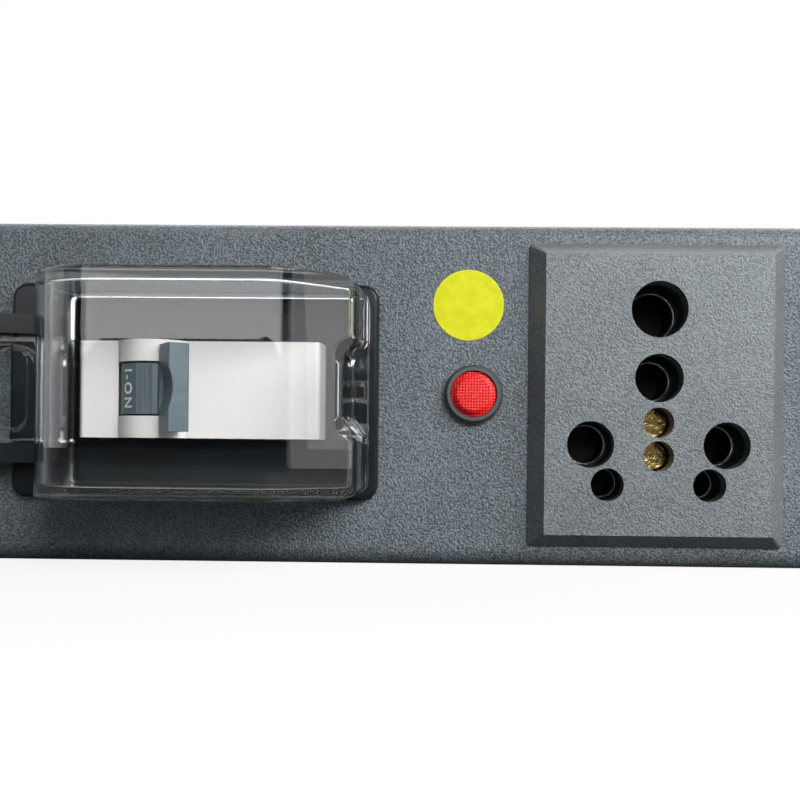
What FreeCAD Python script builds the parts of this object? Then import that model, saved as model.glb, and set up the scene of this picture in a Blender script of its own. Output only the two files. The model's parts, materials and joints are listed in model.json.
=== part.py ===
import FreeCAD, Part
import math
import os

# A 19-inch rack power distribution unit, one and a half units high.
# X runs along the unit, the front face looks toward -Y and Z is up. All sizes are in millimetres.
# The origin is the centre of the four rack slots, on the plane where the ears meet the rack.

# Folded steel housing, as long as the row of pieces on its front
BODY_HEIGHT = 66.0
BODY_DEPTH = 62.5
SHEET = 1.5
BEND_RADIUS = 3.5
LIP_LENGTH = 12.0
TAB_WIDTH = 10.0
TAB_DEPTH = 42.0
COVER_GAP = 0.2
END_ROOM = 23.2

# End brackets with rack ears
EAR_SHEET = 2.0
EAR_REACH = 20.3
SLOT_INSET = 8.75
SLOT_SPACING_Z = 44.45
SLOT_LENGTH = 10.3
SLOT_WIDTH = 6.8
EAR_CORNER = 3.0

# Pan-head screws shared by the covers, the brackets, the rail and the terminal block
SCREW_RADIUS = 1.5
SCREW_LENGTH = 6.0
SCREW_HEAD_RADIUS = 2.75
SCREW_HEAD_HEIGHT = 1.8
SCREW_PASS_GAP = 0.2
SCREW_THREAD_GAP = 0.05
COVER_SCREW_INSET = 17.0

# Window over the breaker: moulded base, clear hinged lid and hinge pin
WINDOW_OFFSET = 2.1
LID_LENGTH = 59.0
LID_HEIGHT = 39.1
LID_RISE = 26.0
LID_WALL = 2.0
LID_SHOULDER = 17.0
LID_CORNER = 3.0
LID_SIDE_RISE = 16.0
LID_SIDE_LEAN = 0.4
LID_SIDE_RADIUS = 1.0
LID_SLOPE = 11.8
LID_CREASE_RADIUS = 6.0
LID_SEAT_GAP = 0.2
BASE_RISE = 2.5
BASE_MARGIN = 1.0
BASE_END_MARGIN = 1.6
BASE_HINGE_SIDE = 9.6
BASE_CORNER = 3.0
BASE_ROUNDING = 0.8
BASE_FLOOR = 1.5
BASE_RECESS = 2.0
NECK_LENGTH = 56.0
NECK_HEIGHT = 34.4
NECK_DEPTH = 7.0
NECK_WALL = 1.5
PANEL_FIT = 0.2
SNAP_LENGTH = 8.0
SNAP_BITE = 1.0
HINGE_REACH = 14.5
HINGE_RISE = 5.6
HINGE_PIN_RADIUS = 1.25
HINGE_RUNNING_GAP = 0.06
HINGE_PRESS_GAP = 0.02
KNUCKLE_RADIUS = 3.2
KNUCKLE_LENGTH = 19.6
LUG_RADIUS = 4.0
LUG_WIDTH = 3.6
LUG_SIDE_GAP = 0.4
LUG_LID_GAP = 1.5
LUG_NOSE_RADIUS = 3.8
LUG_CREST_RADIUS = 2.0
LUG_FOOT_RADIUS = 1.0
ARM_THICKNESS = 2.8
ARM_POCKET = 0.8
ARM_POCKET_CORNER = 3.0
ARM_STRIP = 4.4
THUMB_DEPTH = 2.6
THUMB_MOUTH = 17.6
THUMB_BACK = 11.0
THUMB_ROUNDING = 2.5
CATCH_RADIUS = 1.2
CATCH_LENGTH = 3.2

# Miniature circuit breaker on its rail
BREAKER_LENGTH = 85.0
BREAKER_WIDTH = 18.0
CLIP_ROOM = 10.9
NOSE_LENGTH = 45.0
NOSE_REACH = 60.0
SHOULDER_REACH = 44.0
BREAKER_TAIL = 5.5
BREAKER_GAP = 0.25
CASE_EDGE_RADIUS = 1.0
CASE_SHOULDER_RADIUS = 2.0
TOGGLE_OFFSET = -8.2
TOGGLE_AXIS_DROP = 3.5
BARREL_RADIUS = 6.8
BARREL_WIDTH = 9.3
BARREL_GAP = 0.35
BARREL_GROOVE_RADIUS = 0.25
BARREL_GROOVE_STEP = 10.0
BARREL_GROOVE_LEAN = 3.0
BARREL_GROOVE_COUNT = 3
CHEEK_RADIUS = 7.2
TRUNNION_RADIUS = 2.0
TRUNNION_LENGTH = 2.0
TRUNNION_RUNNING_GAP = 0.06
HANDLE_WIDTH = 15.8
HANDLE_ROOT = 7.7
HANDLE_TIP = 13.6
HANDLE_ROOT_THICKNESS = 4.0
HANDLE_TIP_THICKNESS = 3.7
HANDLE_EDGE_RADIUS = 0.45
HANDLE_HOLLOW_RADIUS = 9.0
HANDLE_HOLLOW_DEPTH = 0.8
TOGGLE_ON_ANGLE = 34.0
TERMINAL_LENGTH = 9.2
TERMINAL_DEPTH = 13.6
TERMINAL_WIDTH = 10.6
TERMINAL_DROP = 6.2
TERMINAL_END_WALL = 1.0
TERMINAL_WIRE_DEPTH = 8.84
TERMINAL_GAP = 0.2
TERMINAL_SCREW_RADIUS = 2.4
TERMINAL_SCREW_GAP = 0.2
TERMINAL_SCREW_SINK = 1.0
RAIL_WIDTH = 35.0
RAIL_CHANNEL = 27.0
RAIL_HEIGHT = 7.5
RAIL_SHEET = 1.0
RAIL_SCREW_SPACING = 30.0
HOOK_BITE = 2.1
CLIP_WIDTH = 7.6
CLIP_THICKNESS = 2.6
CLIP_TAB = 1.5
CLIP_GAP = 0.2

# Indicator lamp
LAMP_ROOM = 8.95
BEZEL_RADIUS = 5.6
BEZEL_RISE = 2.0
BEZEL_BEVEL_WIDTH = 0.5
BEZEL_BEVEL_DEPTH = 0.7
BARREL_THREAD_RADIUS = 4.5
LAMP_DEPTH = 14.0
LAMP_WALL = 0.8
LENS_SKIRT_RADIUS = 4.35
LENS_RADIUS = 3.65
LENS_RISE = 2.6
LENS_SKIRT_DROP = 0.6
LENS_STEP_DROP = 0.3
LENS_EDGE_WIDTH = 0.5
LENS_EDGE_DROP = 0.4
LENS_CROWN = 0.1
LENS_GAP = 0.1
LAMP_NUT_FLATS = 12.0
LAMP_NUT_DEPTH = 3.0
BULB_RADIUS = 1.6
LAMP_TAB_WIDTH = 2.4
LAMP_TAB_SHEET = 0.6
LAMP_TAB_OFFSET = 2.2
LAMP_TAB_LENGTH = 5.0
LAMP_TAB_ROOT = 1.0

# Round-pin outlets, each with a large and a small pin pattern
OUTLET_COUNT = 5
LAMP_PLATE_GAP = 4.75
PLATE_GAP = 7.4
PLATE_WIDTH = 48.6
PLATE_HEIGHT = 57.8
PLATE_EDGE = 0.3
PLATE_RISE = 4.35
PLATE_SIDE_BEVEL = 3.0
PLATE_END_BEVEL = 2.5
PLATE_CORNER = 0.8
CROWN_CORNER = 0.3
PLUG_CORNER = 3.0
PLUG_WIDTH = 44.0
PLUG_HEIGHT = 54.0
WELL_DEPTH = 11.5
WELL_FLOOR = 1.2
BACK_WIDTH = 47.0
BACK_HEIGHT = 57.0
BACK_DEPTH = 27.5
LARGE_EARTH_Z = 16.0
SMALL_EARTH_Z = 3.15
LARGE_PAIR_Z = -9.4
SMALL_PAIR_Z = -16.9
LARGE_PAIR_SPACING = 25.4
SMALL_PAIR_SPACING = 19.05
LARGE_EARTH_WELL = 5.3
SMALL_EARTH_WELL = 4.55
LARGE_PAIR_WELL = 4.4
SMALL_PAIR_WELL = 3.1
LARGE_EARTH_PIN = 4.35
SMALL_EARTH_PIN = 3.53
LARGE_PAIR_PIN = 3.53
SMALL_PAIR_PIN = 2.54
PIN_FIT = 0.07
PIN_PASS_GAP = 0.15
PIN_LEAD_IN = 0.3
LEAD_IN_SHARE = 0.8
CONTACT_WALL = 1.0
CONTACT_LENGTH = 11.7
CONTACT_GAP = 0.1
CONTACT_END_WALL = 1.0
TAIL_WIDTH = 4.0
TAIL_SHEET = 1.2
TAIL_END = 1.0
OUTLET_SCREW_Z = (-5.2, -11.5)
OUTLET_SCREW_WELL = 2.85
OUTLET_SCREW_HEAD = 2.6
OUTLET_SCREW_HEAD_HEIGHT = 1.8
OUTLET_SCREW_SLOT = 0.8
OUTLET_SCREW_RECESS = 9.0
OUTLET_SCREW_LENGTH = 14.0

# Supply bars and leads behind the outlets
BAR_SHEET = 1.5
BAR_HEIGHT = 6.0
BAR_STANDOFF = 0.3
BAR_END = 20.0
LINE_BAR_Z = -7.0
NEUTRAL_BAR_Z = -17.0
EARTH_BAR_Z = 9.6
LEAD_RADIUS = 1.6
LEAD_BEND = 5.0
LEAD_TOUCH = 0.05
LINE_LEAD_BEND = 3.0
LINE_TURN = 10.0
EARTH_TURN = 13.0
NEUTRAL_TURN = 20.0
LAMP_LEAD_RADIUS = 0.7
LAMP_LEAD_BEND = 2.5
BOND_LEAD_RADIUS = 1.2

# Supply entry: cable gland, terminal block and earth stud
GLAND_INSET = 19.0
GLAND_THREAD_RADIUS = 10.0
GLAND_BORE_RADIUS = 6.5
GLAND_FLATS = 24.0
GLAND_FLANGE = 6.0
GLAND_CAP_LENGTH = 15.0
GLAND_SLEEVE_LENGTH = 9.0
GLAND_SLEEVE_RADIUS = 9.0
GLAND_SEAL_RADIUS = 6.0
GLAND_NUT_DEPTH = 5.0
GLAND_THREAD_END = 1.0
GLAND_CAP_RADIUS = 13.2
GLAND_DOME_RADIUS = 10.8
GLAND_DOME_LENGTH = 7.0
GLAND_TIP_LENGTH = 2.0
GLAND_TIP_WALL = 1.0
GLAND_FIT = 0.2
BLOCK_INSET = 21.0
BLOCK_LENGTH = 22.0
BLOCK_HEIGHT = 13.0
BLOCK_DEPTH = 17.0
BLOCK_WAY_OFFSET = 3.0
BLOCK_WAY_GAP = 0.3
BLOCK_SCREW_RADIUS = 1.6
BLOCK_SCREW_SINK = 1.0
STUD_ROOM = 9.5
STUD_Z = 16.0
STUD_RADIUS = 2.0
STUD_LENGTH = 14.0
STUD_NUT_FLATS = 7.0
STUD_NUT_DEPTH = 3.2
BOND_LUG_SHEET = 1.0
BOND_LUG_TONGUE = 9.1
BOND_LUG_CRIMP = 5.6

# Planes and spans worked out from the driving dimensions
V = FreeCAD.Vector
FACE_Y = -EAR_SHEET
PANEL_BACK_Y = FACE_Y + SHEET
REAR_Y = FACE_Y + BODY_DEPTH
COVER_Y = REAR_Y - SHEET
LIP_Y = COVER_Y - SHEET
ENTRY_LENGTH = GLAND_INSET + GLAND_FLATS / 2 + CLIP_ROOM
LAMP_SPACE = LAMP_ROOM + BEZEL_RADIUS + LAMP_PLATE_GAP
OUTLET_PITCH = PLATE_WIDTH + PLATE_GAP
OUTLET_ROW = OUTLET_PITCH * OUTLET_COUNT - PLATE_GAP
BODY_LENGTH = ENTRY_LENGTH + BREAKER_LENGTH + LAMP_SPACE + OUTLET_ROW + END_ROOM
RACK_WIDTH = BODY_LENGTH + 2 * EAR_REACH
SLOT_SPACING_X = RACK_WIDTH - 2 * SLOT_INSET
COVER_SCREW_SPACING = BODY_LENGTH / 4 - COVER_SCREW_INSET / 2
HALF_LENGTH = BODY_LENGTH / 2
HALF_HEIGHT = BODY_HEIGHT / 2
INNER_HALF = HALF_HEIGHT - SHEET
GLAND_X = GLAND_INSET - HALF_LENGTH
BLOCK_X = BLOCK_INSET - HALF_LENGTH
BREAKER_X = ENTRY_LENGTH + BREAKER_LENGTH / 2 - HALF_LENGTH
WINDOW_X = BREAKER_X + WINDOW_OFFSET
LAMP_X = BREAKER_X + BREAKER_LENGTH / 2 + LAMP_ROOM
OUTLET_FIRST_X = LAMP_X + BEZEL_RADIUS + LAMP_PLATE_GAP + PLATE_WIDTH / 2
LID_LEFT = WINDOW_X - LID_LENGTH / 2
LID_RIGHT = WINDOW_X + LID_LENGTH / 2
LID_FOOT_Y = FACE_Y - BASE_RISE - LID_SEAT_GAP
HINGE_X = LID_LEFT - HINGE_REACH
HINGE_Y = FACE_Y - HINGE_RISE
RAIL_Y = COVER_Y - RAIL_HEIGHT
NOSE_Y = RAIL_Y - NOSE_REACH
SHOULDER_Y = RAIL_Y - SHOULDER_REACH
TAIL_Y = RAIL_Y + BREAKER_TAIL
TOGGLE_X = BREAKER_X + TOGGLE_OFFSET
TOGGLE_Y = NOSE_Y + TOGGLE_AXIS_DROP
PLATE_Y = FACE_Y - PLATE_RISE
WELL_Y = PLATE_Y + WELL_DEPTH
FLOOR_Y = WELL_Y + WELL_FLOOR
BACK_Y = PANEL_BACK_Y + BACK_DEPTH
BAR_Y = BACK_Y + BAR_STANDOFF
BAR_BACK_Y = BAR_Y + BAR_SHEET
OUTLET_X = [OUTLET_FIRST_X + OUTLET_PITCH * place for place in range(OUTLET_COUNT)]
BAR_X = (OUTLET_X[0] - BAR_END, OUTLET_X[-1] + BAR_END)
STUD_X = BAR_X[0] - STUD_ROOM
BLOCK_Z = BLOCK_HEIGHT / 2 + COVER_GAP + BEND_RADIUS - HALF_HEIGHT
TINY = 1e-6
PAST = 1.0


def out(rise):
    """Depth of a plane that stands this far in front of the front face."""
    return FACE_Y - rise


def span(centre, width):
    """Pair of limits around a centre."""
    return (centre - width / 2, centre + width / 2)


def grown(limits, margin):
    """Pair of limits moved outward by a margin."""
    return (limits[0] - margin, limits[1] + margin)


def box(x_limits, y_limits, z_limits):
    """Plain block between three pairs of limits."""
    low = V(min(x_limits), min(y_limits), min(z_limits))
    high = V(max(x_limits), max(y_limits), max(z_limits))
    size = high - low
    return Part.makeBox(size.x, size.y, size.z, low)


def rod(radius, start, end):
    """Round bar between two points."""
    axis = end - start
    return Part.makeCylinder(radius, axis.Length, start, axis)


def bore_y(radius, x, z, y_limits):
    """Round bar or hole that runs from front to back."""
    return rod(radius, V(x, y_limits[0], z), V(x, y_limits[1], z))


def bore_z(radius, x, y, z_limits):
    """Round bar or hole that runs upright."""
    return rod(radius, V(x, y, z_limits[0]), V(x, y, z_limits[1]))


def corner_arc(before, corner, after, radius):
    """Start, middle and end of the arc that rounds one corner."""
    to_before = (before - corner).normalize()
    to_after = (after - corner).normalize()
    half_angle = to_before.getAngle(to_after) / 2
    setback = radius / math.tan(half_angle)
    middle = (to_before + to_after).normalize()
    centre = corner + middle * (radius / math.sin(half_angle))
    return (corner + to_before * setback, centre - middle * radius, corner + to_after * setback)


def rounded_path(points, radii):
    """Closed wire through the points, with each corner rounded to its own radius."""
    count = len(points)
    stops = []
    for place, corner in enumerate(points):
        after = points[(place + 1) % count]
        if radii[place] == 0:
            stops.append((corner,))
        else:
            stops.append(corner_arc(points[place - 1], corner, after, radii[place]))
    edges = []
    for place, stop in enumerate(stops):
        following = stops[(place + 1) % count][0]
        if len(stop) > 1:
            edges.append(Part.Arc(*stop).toShape())
        if (following - stop[-1]).Length > TINY:
            edges.append(Part.makeLine(stop[-1], following))
    return Part.Wire(edges)


def prism(points, radii, travel):
    """Solid swept straight from a closed outline with rounded corners."""
    return Part.Face(rounded_path(points, radii)).extrude(travel)


def outline(x_limits, z_limits, radius, y):
    """Rounded rectangle parallel to the front face."""
    (x0, x1), (z0, z1) = x_limits, z_limits
    corners = [V(x0, y, z0), V(x1, y, z0), V(x1, y, z1), V(x0, y, z1)]
    return rounded_path(corners, [radius] * len(corners))


def slab(x_limits, z_limits, radius, y_limits):
    """Plate parallel to the front face, with rounded corners."""
    face = Part.Face(outline(x_limits, z_limits, radius, y_limits[0]))
    return face.extrude(V(0, y_limits[1] - y_limits[0], 0))


def beam(x_limits, y_limits, z_limits, radius):
    """Bar along the unit with a rounded section."""
    (y0, y1), (z0, z1) = y_limits, z_limits
    x = x_limits[0]
    corners = [V(x, y0, z0), V(x, y1, z0), V(x, y1, z1), V(x, y0, z1)]
    return prism(corners, [radius] * len(corners), V(x_limits[1] - x, 0, 0))


def hex_bar(across_flats, x, z, y_limits):
    """Six-sided bar that runs from front to back."""
    reach = across_flats / 2 / math.cos(math.radians(30))
    points = []
    for step in range(6):
        turn = math.radians(60 * step)
        points.append(V(x + reach * math.cos(turn), y_limits[0], z + reach * math.sin(turn)))
    return prism(points, [0] * len(points), V(0, y_limits[1] - y_limits[0], 0))


def turned(profile, x, z):
    """Solid of revolution about a front-to-back axis, from pairs of radius and depth."""
    points = [V(x + radius, depth, z) for radius, depth in profile]
    face = Part.Face(Part.makePolygon(points + points[:1]))
    return face.revolve(V(x, 0, z), V(0, 1, 0), 360)


def lead(points, radius, bend):
    """Insulated wire along a route with rounded bends."""
    pieces = []
    start = points[0]
    for before, corner, after in zip(points, points[1:], points[2:]):
        arc_points = corner_arc(before, corner, after, bend)
        pieces.append(rod(radius, start, arc_points[0]))
        ring = Part.Circle(arc_points[0], corner - before, radius).toShape()
        arc = Part.Arc(*arc_points).toShape()
        turn = math.degrees(arc.LastParameter - arc.FirstParameter)
        pieces.append(Part.Face(Part.Wire(ring)).revolve(arc.Curve.Center, arc.Curve.Axis, turn))
        start = arc_points[-1]
    pieces.append(rod(radius, start, points[-1]))
    return joined(pieces)


def joined(shapes):
    """One solid made of touching or overlapping shapes."""
    return shapes[0].multiFuse(shapes[1:]).removeSplitter()


def without(shape, cutters):
    """The shape with every cutter removed."""
    return shape.cut(Part.makeCompound(cutters))


def rear_screw_places():
    """Seats on the rear cover: along both lips, in the rail and in the terminal block."""
    lip_z = HALF_HEIGHT - LIP_LENGTH / 2
    places = []
    for step in (-2, -1, 0, 1, 2):
        for side in (-1, 1):
            is_block = step == -2 and side == -1
            if not is_block:
                places.append((step * COVER_SCREW_SPACING, side * lip_z))
    for side in (-1, 1):
        places.append((BLOCK_X + side * BLOCK_LENGTH / 4, -lip_z))
        places.append((BREAKER_X, side * RAIL_SCREW_SPACING / 2))
    return places


def end_screw_places():
    """Depth and height of the four screws in each end bracket."""
    tab_y = (FACE_Y + COVER_Y) / 2
    tab_z = INNER_HALF - TAB_WIDTH / 2
    return [(tab_y + a * TAB_DEPTH / 4, b * tab_z) for a in (-1, 1) for b in (-1, 1)]


# Housing

def front_channel():
    """Folded front with top and bottom walls, rear lips and end tabs."""
    length = (-HALF_LENGTH, HALF_LENGTH)
    height = (-HALF_HEIGHT, HALF_HEIGHT)
    depth = (FACE_Y, COVER_Y)
    shell = beam(length, depth, height, BEND_RADIUS)
    hollow = beam(length, grown(depth, -SHEET), grown(height, -SHEET), BEND_RADIUS - SHEET)
    rear_mouth = box(length, grown((LIP_Y, COVER_Y), PAST), grown(height, -LIP_LENGTH))
    folded = without(shell, [hollow, rear_mouth])
    tab_y = span((FACE_Y + COVER_Y) / 2, TAB_DEPTH)
    tabs = []
    for end in (-1, 1):
        for side in (-1, 1):
            tab_x = (end * (HALF_LENGTH - SHEET), end * HALF_LENGTH)
            tab_z = (side * (INNER_HALF - TAB_WIDTH), side * INNER_HALF)
            tabs.append(box(tab_x, tab_y, tab_z))
    folded = joined([folded] + tabs)
    through = grown((FACE_Y, PANEL_BACK_Y), PAST)
    window_x = grown(span(WINDOW_X, NECK_LENGTH), PANEL_FIT)
    window_z = grown(span(0, NECK_HEIGHT), PANEL_FIT)
    cuts = [slab(window_x, window_z, NECK_WALL, through)]
    cuts.append(bore_y(BARREL_THREAD_RADIUS + PANEL_FIT, LAMP_X, 0, through))
    for x in OUTLET_X:
        hole_x = grown(span(x, PLUG_WIDTH), PANEL_FIT)
        hole_z = grown(span(0, PLUG_HEIGHT), PANEL_FIT)
        cuts.append(slab(hole_x, hole_z, PLUG_CORNER, through))
    thread = SCREW_RADIUS + SCREW_THREAD_GAP
    for x, z in rear_screw_places():
        if abs(z) > HALF_HEIGHT - LIP_LENGTH:
            cuts.append(bore_y(thread, x, z, grown((LIP_Y, COVER_Y), PAST)))
    for y, z in end_screw_places():
        for end in (-1, 1):
            inner_end = V(end * (HALF_LENGTH - SHEET - PAST), y, z)
            cuts.append(rod(thread, inner_end, V(end * (HALF_LENGTH + PAST), y, z)))
    return without(folded, cuts)


def rear_cover():
    """Flat rear cover on the lips, with holes for the screws, the gland and the earth stud."""
    sheet = slab((COVER_GAP - HALF_LENGTH, HALF_LENGTH - COVER_GAP),
                 (COVER_GAP - HALF_HEIGHT, HALF_HEIGHT - COVER_GAP), SHEET, (COVER_Y, REAR_Y))
    through = grown((COVER_Y, REAR_Y), PAST)
    cuts = [bore_y(SCREW_RADIUS + SCREW_PASS_GAP, x, z, through) for x, z in rear_screw_places()]
    cuts.append(bore_y(GLAND_THREAD_RADIUS + GLAND_FIT, GLAND_X, 0, through))
    cuts.append(bore_y(STUD_RADIUS + SCREW_THREAD_GAP, STUD_X, STUD_Z, through))
    return without(sheet, cuts)


def right_end_bracket():
    """Folded end plate whose front edge turns outward into the rack ear."""
    plate_x = (HALF_LENGTH, HALF_LENGTH + EAR_SHEET)
    ear_tip = RACK_WIDTH / 2
    section = [V(plate_x[0], FACE_Y, -HALF_HEIGHT), V(ear_tip, FACE_Y, -HALF_HEIGHT),
               V(ear_tip, 0, -HALF_HEIGHT), V(plate_x[1], 0, -HALF_HEIGHT),
               V(plate_x[1], REAR_Y, -HALF_HEIGHT), V(plate_x[0], REAR_Y, -HALF_HEIGHT)]
    radii = [BEND_RADIUS, 0, 0, BEND_RADIUS - EAR_SHEET, 0, 0]
    folded = prism(section, radii, V(0, 0, BODY_HEIGHT))
    rounding = slab((0, ear_tip), (-HALF_HEIGHT, HALF_HEIGHT), EAR_CORNER, grown((FACE_Y, REAR_Y), PAST))
    folded = folded.common(rounding)
    cuts = []
    for side in (-1, 1):
        slot_x = span(SLOT_SPACING_X / 2, SLOT_LENGTH)
        slot_z = span(side * SLOT_SPACING_Z / 2, SLOT_WIDTH)
        cuts.append(slab(slot_x, slot_z, SLOT_WIDTH / 2, grown((FACE_Y, 0), PAST)))
    for y, z in end_screw_places():
        start = V(plate_x[0] - PAST, y, z)
        cuts.append(rod(SCREW_RADIUS + SCREW_PASS_GAP, start, V(plate_x[1] + PAST, y, z)))
    return without(folded, cuts)


def left_end_bracket():
    """Mirror image of the right end bracket."""
    return right_end_bracket().mirror(V(0, 0, 0), V(1, 0, 0))


def pan_screw(seat, inward):
    """Pan-head screw from its seat and the way it drives in."""
    shank = Part.makeCylinder(SCREW_RADIUS, SCREW_LENGTH, seat, inward)
    head = Part.makeCylinder(SCREW_HEAD_RADIUS, SCREW_HEAD_HEIGHT, seat, -inward)
    rim = [edge for edge in head.Edges if abs((edge.CenterOfMass - seat).Length - SCREW_HEAD_HEIGHT) < TINY]
    head = head.makeChamfer(SCREW_HEAD_HEIGHT / 3, rim)
    return joined([head, shank])


def cover_screws():
    """All pan-head screws of the rear cover and the end brackets."""
    screws = [pan_screw(V(x, REAR_Y, z), V(0, -1, 0)) for x, z in rear_screw_places()]
    for y, z in end_screw_places():
        for end in (-1, 1):
            screws.append(pan_screw(V(end * (HALF_LENGTH + EAR_SHEET), y, z), V(-end, 0, 0)))
    return Part.makeCompound(screws)


# Breaker window

def window_base():
    """Moulded frame that snaps into the panel and carries the hinge lugs."""
    frame_x = (LID_LEFT - BASE_HINGE_SIDE, LID_RIGHT + BASE_END_MARGIN)
    frame_z = grown(span(0, LID_HEIGHT), BASE_MARGIN)
    frame = slab(frame_x, frame_z, BASE_CORNER, (FACE_Y, out(BASE_RISE)))
    rim = [edge for edge in frame.Edges if abs(edge.CenterOfMass.y - out(BASE_RISE)) < TINY]
    frame = frame.makeFillet(BASE_ROUNDING, rim)
    neck_x = span(WINDOW_X, NECK_LENGTH)
    neck_z = span(0, NECK_HEIGHT)
    neck = slab(neck_x, neck_z, NECK_WALL, (FACE_Y, FACE_Y + NECK_DEPTH))
    body = [frame, neck]
    lug_inner = KNUCKLE_LENGTH / 2 + LUG_SIDE_GAP
    for side in (-1, 1):
        body.append(hinge_lug(min(side * lug_inner, side * (lug_inner + LUG_WIDTH))))
        for part in (-1, 1):
            body.append(snap_hook(WINDOW_X + part * NECK_LENGTH / 4, side))
    body = joined(body)
    floor_y = out(BASE_RISE - BASE_RECESS)
    recess_x = grown((LID_LEFT, LID_RIGHT), -LID_WALL - PANEL_FIT)
    recess_z = grown(span(0, LID_HEIGHT), -LID_WALL - PANEL_FIT)
    recess = slab(recess_x, recess_z, LID_CORNER - LID_WALL, (out(BASE_RISE + PAST), floor_y))
    under_y = (floor_y + BASE_FLOOR, FACE_Y + NECK_DEPTH + PAST)
    under = box(grown(neck_x, -NECK_WALL), under_y, grown(neck_z, -NECK_WALL))
    nose_x = grown(span(BREAKER_X, NOSE_LENGTH), BREAKER_GAP)
    nose_z = grown(span(0, BREAKER_WIDTH), BREAKER_GAP)
    nose = box(nose_x, (floor_y - PAST, floor_y + BASE_FLOOR + PAST), nose_z)
    pin_half = lug_inner + LUG_WIDTH + PAST
    pin = bore_z(HINGE_PIN_RADIUS + HINGE_PRESS_GAP, HINGE_X, HINGE_Y, (-pin_half, pin_half))
    return without(body, [recess, under, nose, pin])


def hinge_lug(low_z):
    """Lug beside the lid knuckle, sloped down toward the lid."""
    root_x = LID_LEFT - LUG_LID_GAP
    tip_x = HINGE_X - LUG_RADIUS
    top = HINGE_RISE + LUG_RADIUS
    points = [V(tip_x, FACE_Y, low_z), V(root_x, FACE_Y, low_z), V(root_x, out(HINGE_RISE), low_z),
              V(HINGE_X + LUG_RADIUS, out(top), low_z), V(tip_x, out(top), low_z)]
    radii = [0, 0, LUG_FOOT_RADIUS, LUG_CREST_RADIUS, LUG_NOSE_RADIUS]
    return prism(points, radii, V(0, 0, LUG_WIDTH))


def snap_hook(x, side):
    """Wedge on the neck that bites behind the panel."""
    wall_z = side * NECK_HEIGHT / 2
    bite_y = PANEL_BACK_Y + PANEL_FIT
    points = [V(x - SNAP_LENGTH / 2, bite_y, wall_z - side * NECK_WALL / 2),
              V(x - SNAP_LENGTH / 2, bite_y, wall_z + side * SNAP_BITE),
              V(x - SNAP_LENGTH / 2, FACE_Y + NECK_DEPTH, wall_z),
              V(x - SNAP_LENGTH / 2, FACE_Y + NECK_DEPTH, wall_z - side * NECK_WALL / 2)]
    return prism(points, [0] * len(points), V(SNAP_LENGTH, 0, 0))


def lid_form(inset):
    """Lid volume with a round hinge side and a sloped thumb side, moved inward on every side but the foot."""
    left, right = LID_LEFT + inset, LID_RIGHT - inset
    half = LID_HEIGHT / 2 - inset
    foot_y = LID_FOOT_Y + inset
    top_y = out(LID_RISE)
    bend_x = LID_RIGHT - LID_SIDE_LEAN
    section = [V(LID_LEFT, foot_y, -half), V(LID_RIGHT, foot_y, -half), V(bend_x, out(LID_SIDE_RISE), -half),
               V(bend_x - LID_SLOPE, top_y, -half), V(LID_LEFT, top_y, -half)]
    radii = [0, 0, LID_WALL + LID_SIDE_RADIUS, LID_WALL + LID_CREASE_RADIUS, LID_SHOULDER]
    face = Part.Face(rounded_path(section, radii))
    if inset > 0:
        face = face.makeOffset2D(-inset)
    hood = face.extrude(V(0, 0, 2 * half))
    return hood.common(slab((left, right), (-half, half), LID_CORNER - inset, (LID_FOOT_Y, top_y)))


def thumb_recess(margin, floor_y):
    """Room for a thumb in the side of the lid, with slanted ends, grown by a margin down to its floor."""
    back_x = LID_RIGHT - THUMB_DEPTH - margin
    past_x = LID_RIGHT + PAST
    back = THUMB_BACK / 2 + margin
    mouth = THUMB_MOUTH / 2 + margin
    points = [V(back_x, floor_y, -back), V(LID_RIGHT, floor_y, -mouth), V(past_x, floor_y, -mouth),
              V(past_x, floor_y, mouth), V(LID_RIGHT, floor_y, mouth), V(back_x, floor_y, back)]
    radii = [THUMB_ROUNDING, 0, 0, 0, 0, THUMB_ROUNDING]
    return prism(points, radii, V(0, out(LID_RISE + PAST) - floor_y, 0))


def window_lid():
    """Clear lid: rounded hood, thumb recess with its ledge and catch, hinge arm and knuckle."""
    ledge_y = LID_FOOT_Y - LID_WALL
    hollow = lid_form(LID_WALL).cut(thumb_recess(LID_WALL, LID_FOOT_Y + PAST))
    arm_x = (HINGE_X, LID_LEFT + LID_WALL / 2)
    arm_y = span(HINGE_Y, ARM_THICKNESS)
    arm_z = span(0, KNUCKLE_LENGTH)
    arm = box(arm_x, arm_y, arm_z)
    knuckle = bore_z(KNUCKLE_RADIUS, HINGE_X, HINGE_Y, arm_z)
    catch_x = LID_RIGHT - THUMB_DEPTH / 2
    catch = bore_z(CATCH_RADIUS, catch_x, ledge_y, span(0, CATCH_LENGTH))
    hood = lid_form(0).cut(thumb_recess(0, ledge_y))
    lid = joined([hood, arm, knuckle, catch])
    pocket_x = (HINGE_X + KNUCKLE_RADIUS, LID_LEFT - ARM_STRIP)
    pocket_z = grown(arm_z, -LID_WALL)
    pocket = slab(pocket_x, pocket_z, ARM_POCKET_CORNER, (arm_y[0] - PAST, arm_y[0] + ARM_POCKET))
    pin = bore_z(HINGE_PIN_RADIUS + HINGE_RUNNING_GAP, HINGE_X, HINGE_Y, grown(arm_z, PAST))
    return without(lid, [hollow, pocket, pin])


def hinge_pin():
    """Steel pin through both lugs and the knuckle."""
    half = KNUCKLE_LENGTH / 2 + LUG_SIDE_GAP + LUG_WIDTH
    return bore_z(HINGE_PIN_RADIUS, HINGE_X, HINGE_Y, (-half, half))


# Circuit breaker

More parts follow.
